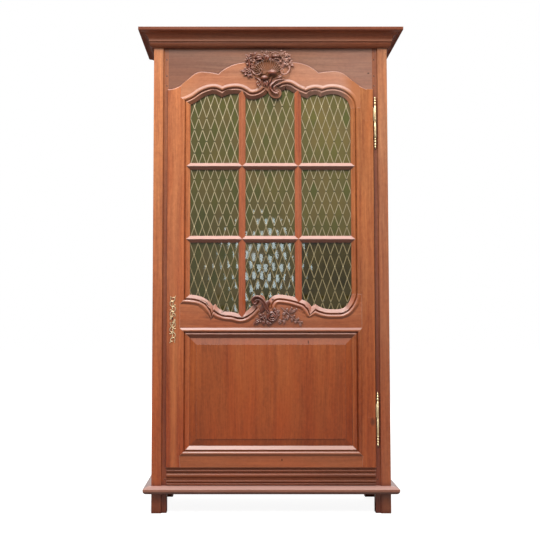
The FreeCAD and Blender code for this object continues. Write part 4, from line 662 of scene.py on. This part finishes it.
solder, tree, surface, where = new_finish("old solder")
wiped = share(noise(where, 3.1), 0.52, 0.6)
fill(surface, {"Base Color": blend(wiped, tint(66, 62, 38), tint(196, 182, 144)),
               "Roughness": share(noise(where, 400.0), 0.3, 0.7, 0.3, 0.5),
               "Metallic": 0.3})
bpy.ops.mesh.primitive_uv_sphere_add(segments=8, ring_count=6, radius=0.0034)
drop = bpy.context.object
bpy.ops.transform.resize(value=(0.8, 0.32, 1.15))
bpy.ops.object.transform_apply()
open_mesh()
bpy.ops.mesh.bisect(plane_co=(0, 0.0003, 0), plane_no=(0, 1, 0), clear_outer=True, use_fill=True)
close_mesh()
bpy.ops.object.shade_smooth_by_angle(angle=math.radians(50))
drop.select_set(False)


def on_glass(x, z):
    """Whether there is glass straight behind a point of the front."""
    return nodes["glass_panels"].ray_cast(Vector((x, -0.3, z)), Vector((0, 1, 0)))[0]


row_feet, row_heads = (0.85, 1.216, 1.545), (1.19, 1.52, 1.9)
clear_room = ((0, 0), (0.012, 0), (-0.012, 0), (0, 0.016), (0, -0.016))
drops = []
for left, pitch in pane_columns:
    for crossing, foot, head in zip(crossings, row_feet, row_heads):
        for half in range(1, 12):
            for step in range(-5, 6):
                x, z = left + pitch * half / 2, crossing + lozenge_height / 2 * step
                if (half + 1) % 2 == step % 2 and foot < z < head and all(
                        on_glass(x + dx, z + dz) for dx, dz in clear_room):
                    copy = copy_of(drop, "drop")
                    copy.data.transform(Matrix.Translation((x, came_front, z)))
                    drops.append(copy)
bpy.data.objects.remove(drop)
solder_drops = joined(drops, "solder_drops")
solder_drops.select_set(False)
solder_drops.data.materials.append(solder)
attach(solder_drops, "door")

# ---------------------------------------------------------------- door panel
# One wide board, raised and fielded, loose in the door's groove. Its grain stands upright.
# Painted light pales the bevel that faces up, and painted shade darkens the one that faces down.
panel_wood = fruitwood("door panel wood", "z", (192, 115, 58), (136, 72, 32), 0.32,
                       shift=(0.37, 0.2, 0.1), coat=0.25, painted_top_light=0.7, painted_under_shade=0.6)
knot(panel_wood, 0.1663, 0.7464, 0.003, 0.01)
finish_nodes(panel_wood, "panel_wood", "raised_panel")

# ---------------------------------------------------------------- crest carving
# The shell of the top rail: hollow flutes under two rolled fronds, sprays of flowers at both
# sides, two hoods over the stalk and a scroll that hangs into the light. Cut from one block of
# the door's wood with gouges, then glued to the rail.
carved_wood = fruitwood("carved wood", "x", (154, 88, 63), (104, 53, 37), 0.25,
                        shift=(0.1, 0, 0.05), dirt_and_shade=1.0, wear_and_highlight=0.0, reach=0.016, gloss=0.1,
                        painted_top_light=0.5, painted_under_shade=0.65)
tree = carved_wood.node_tree
where = spot(tree)
outward, height = axis(where, "Y"), axis(where, "Z")
shell = times(share(apart_from(where, (-0.012, 0, 1.966), (15.5, 0, 21.0)), 1.1, 0.85),
              share(outward, door_face - 0.019, door_face - 0.015))
# Painted light pales the carving towards its right side.
fade_in(carved_wood, "X", 0.01, 0.06, 0.28, (226, 176, 158))
tone_in(carved_wood, times(shell, 0.55), (122, 86, 58))
fill(tree.nodes["Principled BSDF"], {"Coat Weight": share(shell, 0.0, 1.0, 0.7, 0.15)})
# Painted shade with dirt darkens the low relief of the middle rail's carving.
low_relief_dirt_and_shade = times(share(height, 1.3, 1.2), share(
    outward, door_face - 0.017, door_face - 0.009, 0.0, 0.5))
tone_in(carved_wood, low_relief_dirt_and_shade, (84, 42, 30))
# Painted highlights on the ridges and painted shade in the hollows, by how sharply the surface
# bends.
ridged = place(tree, "NewGeometry").outputs["Pointiness"]
tone_in(carved_wood, share(ridged, 0.53, 0.6, 0.0, 0.7), (240, 198, 174))
tone_in(carved_wood, share(ridged, 0.495, 0.44, 0.0, 0.9), (52, 20, 13))


def bent_rods(rods):
    """Round rods through points (across, up, out from the door, radius), all in millimetres,
    as one mesh."""
    bpy.ops.curve.primitive_nurbs_path_add()
    curve = bpy.context.object.data
    curve.splines.clear()
    curve.bevel_depth, curve.bevel_resolution, curve.resolution_u = 0.001, 2, 5
    curve.use_fill_caps = True
    for rod in rods:
        spline = curve.splines.new("NURBS")
        spline.points.add(len(rod) - 1)
        for point, (x, z, out, radius) in zip(spline.points, rod):
            point.co = (x / 1000, door_face - out / 1000, z / 1000, 1)
            point.radius = radius
        spline.order_u = min(3, len(rod))
        spline.use_endpoint_u = True
    bpy.ops.object.convert(target="MESH")
    return bpy.context.object


def bulge(x, z, wide, high, out, lean=0.0):
    """A rounded mass on the door's face, out millimetres deep."""
    bpy.ops.mesh.primitive_uv_sphere_add(segments=24, ring_count=14, radius=0.001,
                                         location=(x / 1000, door_face, z / 1000))
    mass = bpy.context.object
    mass.scale = (wide, out, high)
    mass.rotation_euler = (0, math.radians(lean), 0)
    bpy.ops.object.transform_apply()
    return mass


def rolled_hood(x, z, wide, high, out):
    """A lobe rolled forward over a hollow: the upper shell of a bulge."""
    mass = bulge(x, z, wide, high, out)
    open_mesh()
    bpy.ops.mesh.bisect(plane_co=(x / 1000, door_face, (z - high * 0.25) / 1000),
                        plane_no=(0, -0.25, 1), clear_inner=True)
    close_mesh()
    wall = mass.modifiers.new("wall", "SOLIDIFY")
    wall.thickness, wall.offset = 0.0034, -1
    bpy.ops.object.modifier_apply(modifier="wall")
    return mass


def leaf(x, z, tip_x, tip_z, half, out):
    """Two gouged lobes either side of a vein, from the stalk to the tip."""
    length = math.hypot(tip_x - x, tip_z - z)
    lie_x, lie_z = (tip_x - x) / length, (tip_z - z) / length
    rods = []
    for hand in (-1, 1):
        rod = []
        for step, spread, rise, radius in ((0.0, 0.15, 0.6, 0.45), (0.3, 0.62, 0.9, 0.62),
                                           (0.65, 0.6, 1.0, 0.58), (1.0, 0.0, 0.75, 0.3)):
            aside = hand * spread * half
            rod.append((x + lie_x * length * step - lie_z * aside,
                        z + lie_z * length * step + lie_x * aside,
                        out * rise - half * radius, max(half * radius, 1.0)))
        rods.append(rod)
    return rods


def blossom(x, z, radius, out, petals, turn=0.0):
    """A flower of plump petals round a raised bud."""
    rods = [[(x - 1, z, out - 2, 2.4), (x + 1, z + 1, out + 1, 2.6)]]
    for number in range(petals):
        angle = turn + 2 * math.pi * number / petals
        rods.append([(x + radius * step * math.cos(angle), z + radius * step * math.sin(angle),
                      out * rise, radius * thick) for step, rise, thick in (
                          (0.3, 0.55, 0.22), (0.7, 0.72, 0.34), (1.0, 0.5, 0.26))])
    return rods


def carve(name, material, pieces, grid, keep):
    """Joins the roughed-out masses, works them into one surface and cuts the back flat."""
    carving = joined(pieces, name)
    whole = carving.modifiers.new("whole", "REMESH")
    whole.mode, whole.voxel_size = "VOXEL", grid
    smooth = carving.modifiers.new("smooth", "SMOOTH")
    smooth.factor, smooth.iterations = 0.5, 3
    carving.modifiers.new("thin", "DECIMATE").ratio = keep
    for modifier in ("whole", "smooth", "thin"):
        bpy.ops.object.modifier_apply(modifier=modifier)
    open_mesh()
    bpy.ops.mesh.bisect(plane_co=(0, door_face + 0.004, 0), plane_no=(0, 1, 0),
                        clear_outer=True, use_fill=True)
    close_mesh()
    bpy.ops.object.transform_apply()
    bpy.ops.object.shade_smooth_by_angle(angle=math.radians(50))
    carving.data.materials.clear()
    carving.data.materials.append(material)
    carving.select_set(False)
    return carving


rods = []
for number in range(17):  # the shell's flutes
    angle = math.radians(172 - 9.6 * number)
    cos, sin = math.cos(angle), math.sin(angle)
    sway = 7 * math.sin(2 * angle)
    rods.append([(-10 + 12 * cos, 1944 + 10 * sin, 10, 1.2),
                 (-11 + 32 * cos + sway, 1946 + 34 * sin, 8.4, 1.8),
                 (-12 + 54 * cos + sway, 1946 + 56 * sin, 8.8, 2.6),
                 (-12 + 66 * cos, 1946 + 67 * sin, 12, 3)])
rods += [  # the two fronds rolled over the shell, each with a gouged lip
    [(-78, 2008, 12, 2.4), (-70, 2024, 18, 2.6), (-54, 2034, 22, 2.8), (-38, 2029, 21, 2.4),
     (-27, 2016, 16, 1.8)],
    [(-72, 2006, 12, 2.2), (-56, 2013, 18, 2.6), (-42, 2014, 18, 2.4), (-30, 2008, 14, 1.8)],
    [(52, 2020, 16, 2), (38, 2040, 21, 2.6), (20, 2045, 23, 2.8), (4, 2037, 22, 2.6),
     (-1, 2023, 20, 2.4), (5, 2011, 18, 2.4), (13, 2009, 18, 2.4)],
    [(48, 2008, 12, 2.2), (34, 2016, 17, 2.6), (20, 2015, 18, 2.4), (14, 2012, 18, 2)]]
rods += [  # C-scrolls at the foot of the shell
    [(-84, 1972, 9, 2.4), (-83, 1958, 11, 3), (-74, 1947, 13, 3.6), (-60, 1941, 14, 4),
     (-46, 1945, 14, 3.6), (-38, 1957, 14, 3.2), (-40, 1968, 14, 2.8), (-49, 1970, 14, 2.4),
     (-53, 1961, 14, 2.2), (-46, 1957, 15, 2.4)],
    [(88, 1988, 10, 2.6), (88, 1968, 12, 3.4), (78, 1951, 14, 4), (64, 1942, 15, 4.2),
     (51, 1947, 15, 3.6), (45, 1959, 15, 3.2), (49, 1968, 15, 2.8), (58, 1967, 15, 2.4),
     (60, 1958, 15, 2.2), (54, 1955, 16, 2.4)]]
rods += [  # volute at the end of the left moulding, stalk and the scroll that hangs
    [(-72, 1933, 5, 2), (-58, 1927, 9, 3), (-47, 1917, 12, 3.8), (-44, 1903, 13, 4),
     (-53, 1892, 12, 3.6), (-63, 1899, 12, 3.2), (-62, 1910, 12, 2.8), (-54, 1911, 13, 2.4)],
    [(-36, 1922, 9, 3.4), (-34, 1906, 10, 3), (-26, 1893, 8, 2.2)],
    [(8, 1944, 8, 5), (2, 1926, 9, 4.5), (-4, 1908, 9, 4)],
    [(62, 1924, 5, 2.4), (40, 1922, 9, 3.6), (20, 1913, 12, 5), (4, 1899, 13, 6),
     (-2, 1884, 13, 6), (4, 1869, 13, 5.4), (18, 1861, 12, 4.6), (30, 1860, 12, 4),
     (37, 1866, 12, 3)],
    [(46, 1904, 6, 2), (28, 1898, 11, 3), (16, 1888, 15, 3.6), (15, 1877, 15, 3.4),
     (23, 1869, 14, 2.8), (31, 1872, 13, 2.2)],
    [(20, 1911, 16, 1.6), (4, 1897, 19, 2), (-2, 1883, 20, 2), (5, 1868, 18, 1.8),
     (20, 1858, 17, 2), (32, 1856, 15, 1.8)]]
rods += leaf(-22, 1924, -15, 1889, 8, 14) + leaf(27, 1929, 54, 1941, 6, 15)
for flower in ((-18, 2046, 9, 21, 5, 0.3), (-98, 2022, 12, 16, 6, 0.0),
               (-86, 2008, 6, 20, 5, 0.6), (-72, 2007, 6, 25, 5, 0.2),
               (-81, 1976, 8, 20, 5, 0.9), (-97, 1960, 12, 17, 6, 0.4),
               (52, 2040, 9, 20, 5, 0.5), (72, 2033, 10, 16, 6, 0.0), (55, 2018, 8, 22, 5, 0.1),
               (70, 2010, 9, 21, 5, 0.7), (76, 1990, 8, 22, 5, 0.4), (90, 1997, 8, 17, 5, 0.0)):
    rods += blossom(*flower)
for sprig in ((-20, 2006, -12, 2034, 9, 20), (-84, 2030, -60, 2047, 5, 17),
              (-100, 2030, -114, 2036, 4, 13), (-90, 2032, -88, 2044, 4, 14),
              (-104, 2014, -118, 2008, 4, 12), (-98, 1990, -110, 1996, 4, 12),
              (-90, 1988, -76, 1992, 4, 14), (-106, 1968, -120, 1974, 5, 12),
              (-106, 1958, -136, 1963, 5, 13), (-104, 1950, -122, 1944, 5, 12),
              (-98, 1950, -99, 1928, 5, 11), (-90, 1950, -83, 1934, 5, 11),
              (-34, 2044, -42, 2052, 3, 17), (-4, 2040, 8, 2052, 3, 17),
              (52, 2046, 48, 2056, 4, 18), (60, 2042, 68, 2052, 4, 15),
              (80, 2032, 92, 2036, 4, 13), (48, 2010, 40, 1998, 4, 17),
              (66, 1998, 60, 1986, 4, 17), (84, 1984, 82, 1972, 4, 14),
              (92, 1992, 107, 1984, 5, 14), (92, 2002, 98, 2012, 4, 13),
              (82, 2016, 94, 2020, 4, 13)):
    rods += leaf(*sprig)
rods += [  # stalks of the flowers
    [(-98, 2012, 8, 3), (-92, 1992, 9, 3.4), (-96, 1972, 8, 3)],
    [(62, 2020, 9, 3), (72, 2002, 10, 3.4), (80, 1984, 9, 3)],
    [(-34, 2036, 10, 3), (-18, 2030, 11, 3.4), (-6, 2034, 10, 3)]]
crest = carve("carved_crest", carved_wood, [
    bent_rods(rods), bulge(-12, 1976, 66, 50, 9.5), bulge(-52, 2021, 25, 10, 22, 6),
    bulge(26, 2028, 23, 11, 22, -8), bulge(-12, 1950, 40, 18, 9),
    rolled_hood(8, 1951, 21, 18, 31), rolled_hood(-27, 1928, 18, 15, 25),
    bulge(1, 1899, 9, 22, 7, -12), bulge(-94, 2000, 14, 40, 6, 2),
    bulge(70, 2006, 14, 36, 7, 30)], 0.0011, 0.4)
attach(crest, "door")
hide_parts("crest_shell")

# ---------------------------------------------------------------- rail carving
# On the middle rail the mouldings meet in a volute, with a rosette and leaves below it and a
# flowering sprig to the right. It is carved like the crest, but in lower relief.


def curl(x, z, radius, last_radius, start, sweep, out, thick, last_thick):
    """A scroll that winds in towards (x, z) and rises to its eye."""
    rod = []
    for step in range(9):
        part = step / 8
        angle = math.radians(start + sweep * part)
        reach = radius + (last_radius - radius) * part
        rod.append((x + reach * math.cos(angle), z + reach * math.sin(angle),
                    out * (0.7 + 0.3 * part) - thick * 0.5, thick + (last_thick - thick) * part))
    return rod


rods = [
    [(-4, 868, 6, 3.5), (-14, 888, 9, 6), (-25, 914, 11, 7.5), (-40, 936, 13, 8),
     (-60, 948, 14, 8), (-78, 941, 14, 7), (-84, 926, 14, 6), (-76, 913, 14, 5),
     (-65, 915, 14, 4), (-62, 924, 15, 3.6)],
    [(-4, 876, 12, 2.2), (-17, 908, 18, 2.8), (-36, 936, 22, 3), (-60, 950, 23, 3),
     (-80, 944, 22, 2.8), (-87, 926, 20, 2.4)],
    [(-22, 886, 12, 2), (-34, 914, 17, 2.4), (-48, 930, 20, 2.4), (-60, 934, 20, 2.4),
     (-70, 930, 19, 2.2)],
    [(-24, 920, 9, 3), (-24, 902, 11, 3.4), (-20, 886, 12, 3.4), (-8, 874, 12, 3)],
    curl(5, 861, 24, 21, 60, -270, 13, 4.5, 3.5), curl(5, 861, 15, 12, 200, -230, 15, 4, 3),
    curl(5, 861, 16, 13, 20, -140, 15, 3.6, 3), curl(5, 861, 6, 2, 90, -300, 18, 3.2, 3),
    [(44, 901, 3, 1.6), (63, 884, 5, 2.4), (79, 868, 5.5, 2.6), (101, 849, 5, 2.4),
     (136, 822, 3, 1.6)],
    [(80, 862, 4, 2), (66, 846, 5, 2.2), (38, 835, 3, 1.6)]]
rods += blossom(-37, 858, 15, 13, 5, 1.3) + blossom(-28, 842, 8, 11, 5)
for sprig in ((-46, 866, -56, 874, 5, 12), (-26, 856, -14, 848, 5, 12),
              (-44, 846, -78, 824, 6, 11), (-42, 842, -52, 838, 6, 11),
              (-56, 840, -68, 850, 5, 10), (-62, 834, -60, 822, 4, 9),
              (-32, 842, -32, 822, 6, 12), (-20, 840, -6, 820, 6, 11), (-8, 832, 6, 828, 5, 9),
              (20, 872, 39, 886, 6, 12), (14, 880, 18, 898, 5, 11), (26, 864, 40, 868, 5, 10),
              (68, 882, 74, 896, 4, 8), (80, 872, 92, 897, 4, 9), (86, 874, 114, 892, 5, 9),
              (66, 876, 50, 867, 5, 9), (78, 864, 70, 850, 5, 9), (96, 854, 104, 862, 4, 8),
              (94, 852, 92, 837, 5, 8), (110, 842, 122, 850, 4, 8), (110, 840, 108, 828, 4, 8),
              (120, 834, 140, 835, 4, 8), (128, 828, 134, 816, 4, 7), (60, 846, 52, 858, 4, 8),
              (60, 842, 56, 827, 5, 8), (48, 838, 36, 846, 4, 8), (46, 836, 36, 828, 4, 8)):
    rods += leaf(*sprig)
for bud in ((92, 897, 5, 8, 4), (114, 892, 5, 8, 4), (72, 850, 6, 8, 5), (104, 862, 5, 8, 4),
            (122, 850, 5, 8, 4), (138, 834, 5, 7, 4), (38, 836, 6, 8, 5)):
    rods += blossom(*bud)
spray = carve("carved_spray", carved_wood, [
    bent_rods(rods), bulge(-68, 929, 17, 18, 15), bulge(4, 861, 22, 22, 7),
    bulge(-36, 856, 14, 14, 6), bulge(-28, 902, 14, 34, 6, 35)], 0.001, 0.5)
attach(spray, "door")
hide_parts("rail_carving")

# ---------------------------------------------------------------- hinges
# Two turned brass fiche hinges. Each half is a barrel with a fine ring at the joint and three
# beads and a tip at its end, driven in by a flat leaf. The lower half carries the pin.


def old_metal(name, bright, dark, metallic, roughness):
    """Polished metal gone dull in the hollows."""
    material, tree, surface, where = new_finish(name)
    worn = place(tree, "Group", {"Reach": 0.006, "Arris": 0.0004}, node_tree=WEAR).outputs
    mottle = noise(where, 160.0, 4.0)
    colour = blend(share(mottle, 0.35, 0.75, 0.0, 0.5), tint(*bright), tint(*dark))
    fill(surface, {"Base Color": blend(worn["Dirt And Shade"], colour, tint(*dark)),
                   "Roughness": share(mottle, 0.3, 0.7, roughness, roughness + 0.18),
                   "Normal": worn["Normal"], "Metallic": metallic})
    return material


def turned(x, y, z, profile):
    """Turns a rod ring by ring from (height, radius) pairs in millimetres."""
    bpy.ops.mesh.primitive_circle_add(vertices=20, radius=profile[0][1] / 1000,
                                      fill_type="NGON", location=(x, y, z + profile[0][0] / 1000))
    rod = bpy.context.object
    bpy.ops.object.mode_set(mode="EDIT")
    for (height, radius), (above, wider) in zip(profile, profile[1:]):
        bpy.ops.mesh.extrude_region_move(
            TRANSFORM_OT_translate={"value": (0, 0, (above - height) / 1000)})
        bpy.ops.transform.resize(value=(wider / radius, wider / radius, 1))
    bpy.ops.mesh.select_all(action="SELECT")
    bpy.ops.mesh.normals_make_consistent(inside=False)
    close_mesh()
    bpy.ops.object.transform_apply()
    rod.select_set(False)
    return rod


brass = old_metal("aged brass", (244, 220, 174), (112, 80, 44), 1.0, 0.22)
pin_x, pin_y = 0.4705, -0.193                        # the axis on which the door swings
leaf_half, leaf_near, leaf_far = 0.00125, 0.009, 0.067   # half a leaf's thickness, and its ends
door_leaf_end, post_leaf_end = 0.425, -0.149         # how deep the leaves go into the wood
turning = [(0.3, 3.2), (0.3, 5.0), (1.2, 5.6), (2.4, 5.0), (3.4, 5.4), (72, 5.4), (73, 4.9),
           (74.4, 5.6), (76, 4.4), (78, 2.6)]
for middle, radius in ((87, 5.0), (99, 4.7), (110.5, 4.3)):
    turning += [(middle - 5.6, 2.3), (middle - 4.2, radius * 0.72), (middle - 2, radius * 0.96),
                (middle, radius), (middle + 2, radius * 0.96), (middle + 4.2, radius * 0.72)]
turning += [(116, 2.0), (117.2, 1.4), (117.8, 0.5)]
for level in ("upper", "lower"):
    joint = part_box(f"hinge_{level}_door_half")[0].z - 0.0003
    for half, body, way, span_x, span_y in (
            ("door", "door", 1, (door_leaf_end, pin_x), (pin_y - leaf_half, pin_y + leaf_half)),
            ("post", "carcase", -1, (pin_x - leaf_half, pin_x + leaf_half),
             (pin_y, post_leaf_end))):
        rod = turned(pin_x, pin_y, joint, [(way * height, radius) for height, radius in turning])
        ends = sorted((joint + way * leaf_near, joint + way * leaf_far))
        bpy.ops.mesh.primitive_cube_add(size=1)
        plate = bpy.context.object
        plate.location = [(low + high) / 2 for low, high in (span_x, span_y, ends)]
        plate.scale = [high - low for low, high in (span_x, span_y, ends)]
        bpy.ops.object.transform_apply()
        soft = plate.modifiers.new("soft", "BEVEL")
        soft.width, soft.segments = 0.0004, 2
        bpy.ops.object.modifier_apply(modifier="soft")
        rod = joined([rod, plate], f"turned_hinge_{level}_{half}_half")
        bpy.ops.object.shade_smooth_by_angle(angle=math.radians(50))
        rod.select_set(False)
        rod.data.materials.append(brass)
        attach(rod, body)
        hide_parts(f"hinge_{level}_{half}_half")

# ---------------------------------------------------------------- escutcheon
# A long pierced brass plate in the same taste: scrolls round the keyhole between two stacks of
# C-scrolls and leaves, chased with a rounded front and held by four round-headed pins.
keyhole_x, keyhole_z = -435.0, 846.0
strokes = (  # one stack, in millimetres from the keyhole: (across, up, out, thickness)
    [(-10, 14, 1, 2), (-13, 24, 1, 2.2), (-8, 34, 1, 2.3), (2, 36, 1, 2.2), (6, 29, 1, 2),
     (2, 24, 1.4, 2.0)],
    [(10, 12, 1, 2), (13, 20, 1, 2.2), (7, 27, 1, 1.8)],
    [(6, 33, 1, 2), (13, 42, 1, 2.3), (11, 54, 1, 2.3), (1, 58, 1, 2.2), (-4, 51, 1, 2),
     (0, 46, 1.4, 1.9)],
    [(-2, 38, 1, 1.8), (-9, 44, 1, 2.2), (-13, 40, 1, 1.4)],
    [(-3, 56, 1, 2), (-12, 63, 1, 2.3), (-12, 76, 1, 2.3), (-3, 82, 1, 2.2), (4, 76, 1, 2),
     (0, 70, 1.4, 1.9)],
    [(3, 60, 1, 1.8), (10, 66, 1, 2.2), (14, 62, 1, 1.4)],
    [(2, 80, 1, 2), (10, 86, 1, 2.2), (9, 96, 1, 2.1), (0, 98, 1, 1.8), (-3, 93, 1.2, 1.6)],
    [(-6, 80, 1, 1.8), (-12, 90, 1, 2.0), (-6, 96, 1, 1.6), (-10, 103, 1, 1.2)],
    [(6, 94, 1, 1.6), (11, 101, 1, 1.8), (14, 105, 1, 1.1)],
    [(-4, 16, 1.2, 2.4), (0, 26, 1.2, 1.8), (1, 40, 1.2, 1.6), (-1, 56, 1.2, 1.6),
     (1, 72, 1.2, 1.5), (0, 86, 1.2, 1.4)],
    [(-9, -3, 1, 2.4), (-12, 4, 1, 2.6), (-9, 12, 1, 2.4), (-3, 17, 1, 2.2)],
    [(4, 17, 1, 2.0), (0, 13, 1, 2.4), (-5, 9, 1, 2.4), (-7, 2, 1, 2.4)])
rods = [[(keyhole_x + turn * across, keyhole_z + turn * up, out, thick)
         for across, up, out, thick in stroke] for turn in (1, -1) for stroke in strokes]
rods += [[(keyhole_x, keyhole_z + up, 1.0, 2.6), (keyhole_x, keyhole_z + up, 2.0, 2.4)]
         for up in (24, 63, -24, -63)]
worn_brass = old_metal("worn plate brass", (222, 196, 156), (96, 70, 42), 1.0, 0.3)
plate = carve("pierced_escutcheon", worn_brass, [bent_rods(rods)], 0.00055, 0.35)
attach(plate, "door")
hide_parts("escutcheon")

# ---------------------------------------------------------------- lock
# The iron box lock on the inside of the lock stile, its bolt and the keeper on the post, all
# forged and filed, and gone brown in the corners.
iron = old_metal("lock iron", (120, 116, 110), (62, 44, 34), 0.9, 0.35)
finish_nodes(iron, "iron", "lock_case", "lock_bolt", "lock_keeper")

# ---------------------------------------------------------------- room
# A pale floor, soft daylight from high in front, a small far window that glints in the glass, a
# weak light from the wall behind, and a camera at table height.
bpy.ops.mesh.primitive_plane_add(size=40, location=(0, 0, 0))
floor = bpy.context.object
floor.name = "floor"
floor_paint = bpy.data.materials.new("floor paint")
floor_paint.use_nodes = True
tree = floor_paint.node_tree
tree.nodes.clear()
seen = place(tree, "LightPath").outputs
pale = place(tree, "BsdfDiffuse", {"Color": (0.42, 0.41, 0.4, 1)})
shadow = place(tree, "BsdfDiffuse", {"Color": (0.3, 0.3, 0.3, 1)})
far = share(vectors("LENGTH", spot(tree)), 1.2, 4.0, 0.93, 1.0)
glow = place(tree, "Emission", {"Color": (1, 1, 1, 1), "Strength": far})
lit = place(tree, "AddShader", {0: shadow.outputs[0], 1: glow.outputs[0]})
mix = place(tree, "MixShader", {0: seen["Is Camera Ray"], 1: pale.outputs[0], 2: lit.outputs[0]})
place(tree, "OutputMaterial", {"Surface": mix.outputs[0]})
floor.data.materials.append(floor_paint)

sky = bpy.context.scene.world or bpy.data.worlds.new("sky")
bpy.context.scene.world = sky
sky.use_nodes = True
tree = sky.node_tree
tree.nodes.clear()
seen = place(tree, "LightPath").outputs
mirrored = maths("MAXIMUM", seen["Is Glossy Ray"], seen["Is Transmission Ray"])
shown = maths("MAXIMUM", seen["Is Camera Ray"], mirrored)
soft_fill = place(tree, "Background", {"Color": (1.0, 0.98, 0.96, 1), "Strength": 0.08})
white = place(tree, "Background", {"Color": (1, 1, 1, 1), "Strength": 1.0})
mix = place(tree, "MixShader", {0: shown, 1: soft_fill.outputs[0], 2: white.outputs[0]})
place(tree, "OutputWorld", {"Surface": mix.outputs[0]})


def soft_light(name, at, towards, width, height, power, colour):
    """A large flat lamp turned to a point."""
    lamp = bpy.data.lights.new(name, "AREA")
    lamp.shape = "RECTANGLE"
    lamp.size, lamp.size_y, lamp.energy, lamp.color = width, height, power, colour
    holder = bpy.data.objects.new(name, lamp)
    bpy.context.scene.collection.objects.link(holder)
    holder.location = at
    holder.rotation_euler = (Vector(towards) - Vector(at)).to_track_quat("-Z", "Y").to_euler()
    return holder


soft_light("skylight", (0.1, -1.9, 6.0), (0, -0.25, 1.0), 6.0, 4.6, 477, (1.0, 0.97, 0.95))
soft_light("high window", (-0.9, -4.4, 4.9), (0, -0.2, 1.5), 2.2, 2.2, 190, (1.0, 0.97, 0.94))
soft_light("far window", (0.05, -4.75, 1.3), (0, -0.2, 1.0), 0.32, 0.36, 6.2, (0.74, 0.92, 1.0))
back_wall = soft_light("back wall", (0.6, 4.6, 3.0), (0, 0.26, 1.0), 3.0, 3.0, 130,
                       (1.0, 0.98, 0.96))
back_wall.visible_glossy = False

camera = bpy.data.objects.new("camera", bpy.data.cameras.new("camera"))
bpy.context.scene.collection.objects.link(camera)
camera.location = (-0.11457, -4.72465, 0.8655)
camera.rotation_euler = (math.radians(94.09), 0, 0)
camera.data.sensor_width = 36
camera.data.lens = 67.93
camera.data.shift_x = 0.0463
camera.data.shift_y = -0.0516
bpy.context.scene.camera = camera
bpy.context.scene.view_settings.view_transform = "Standard"
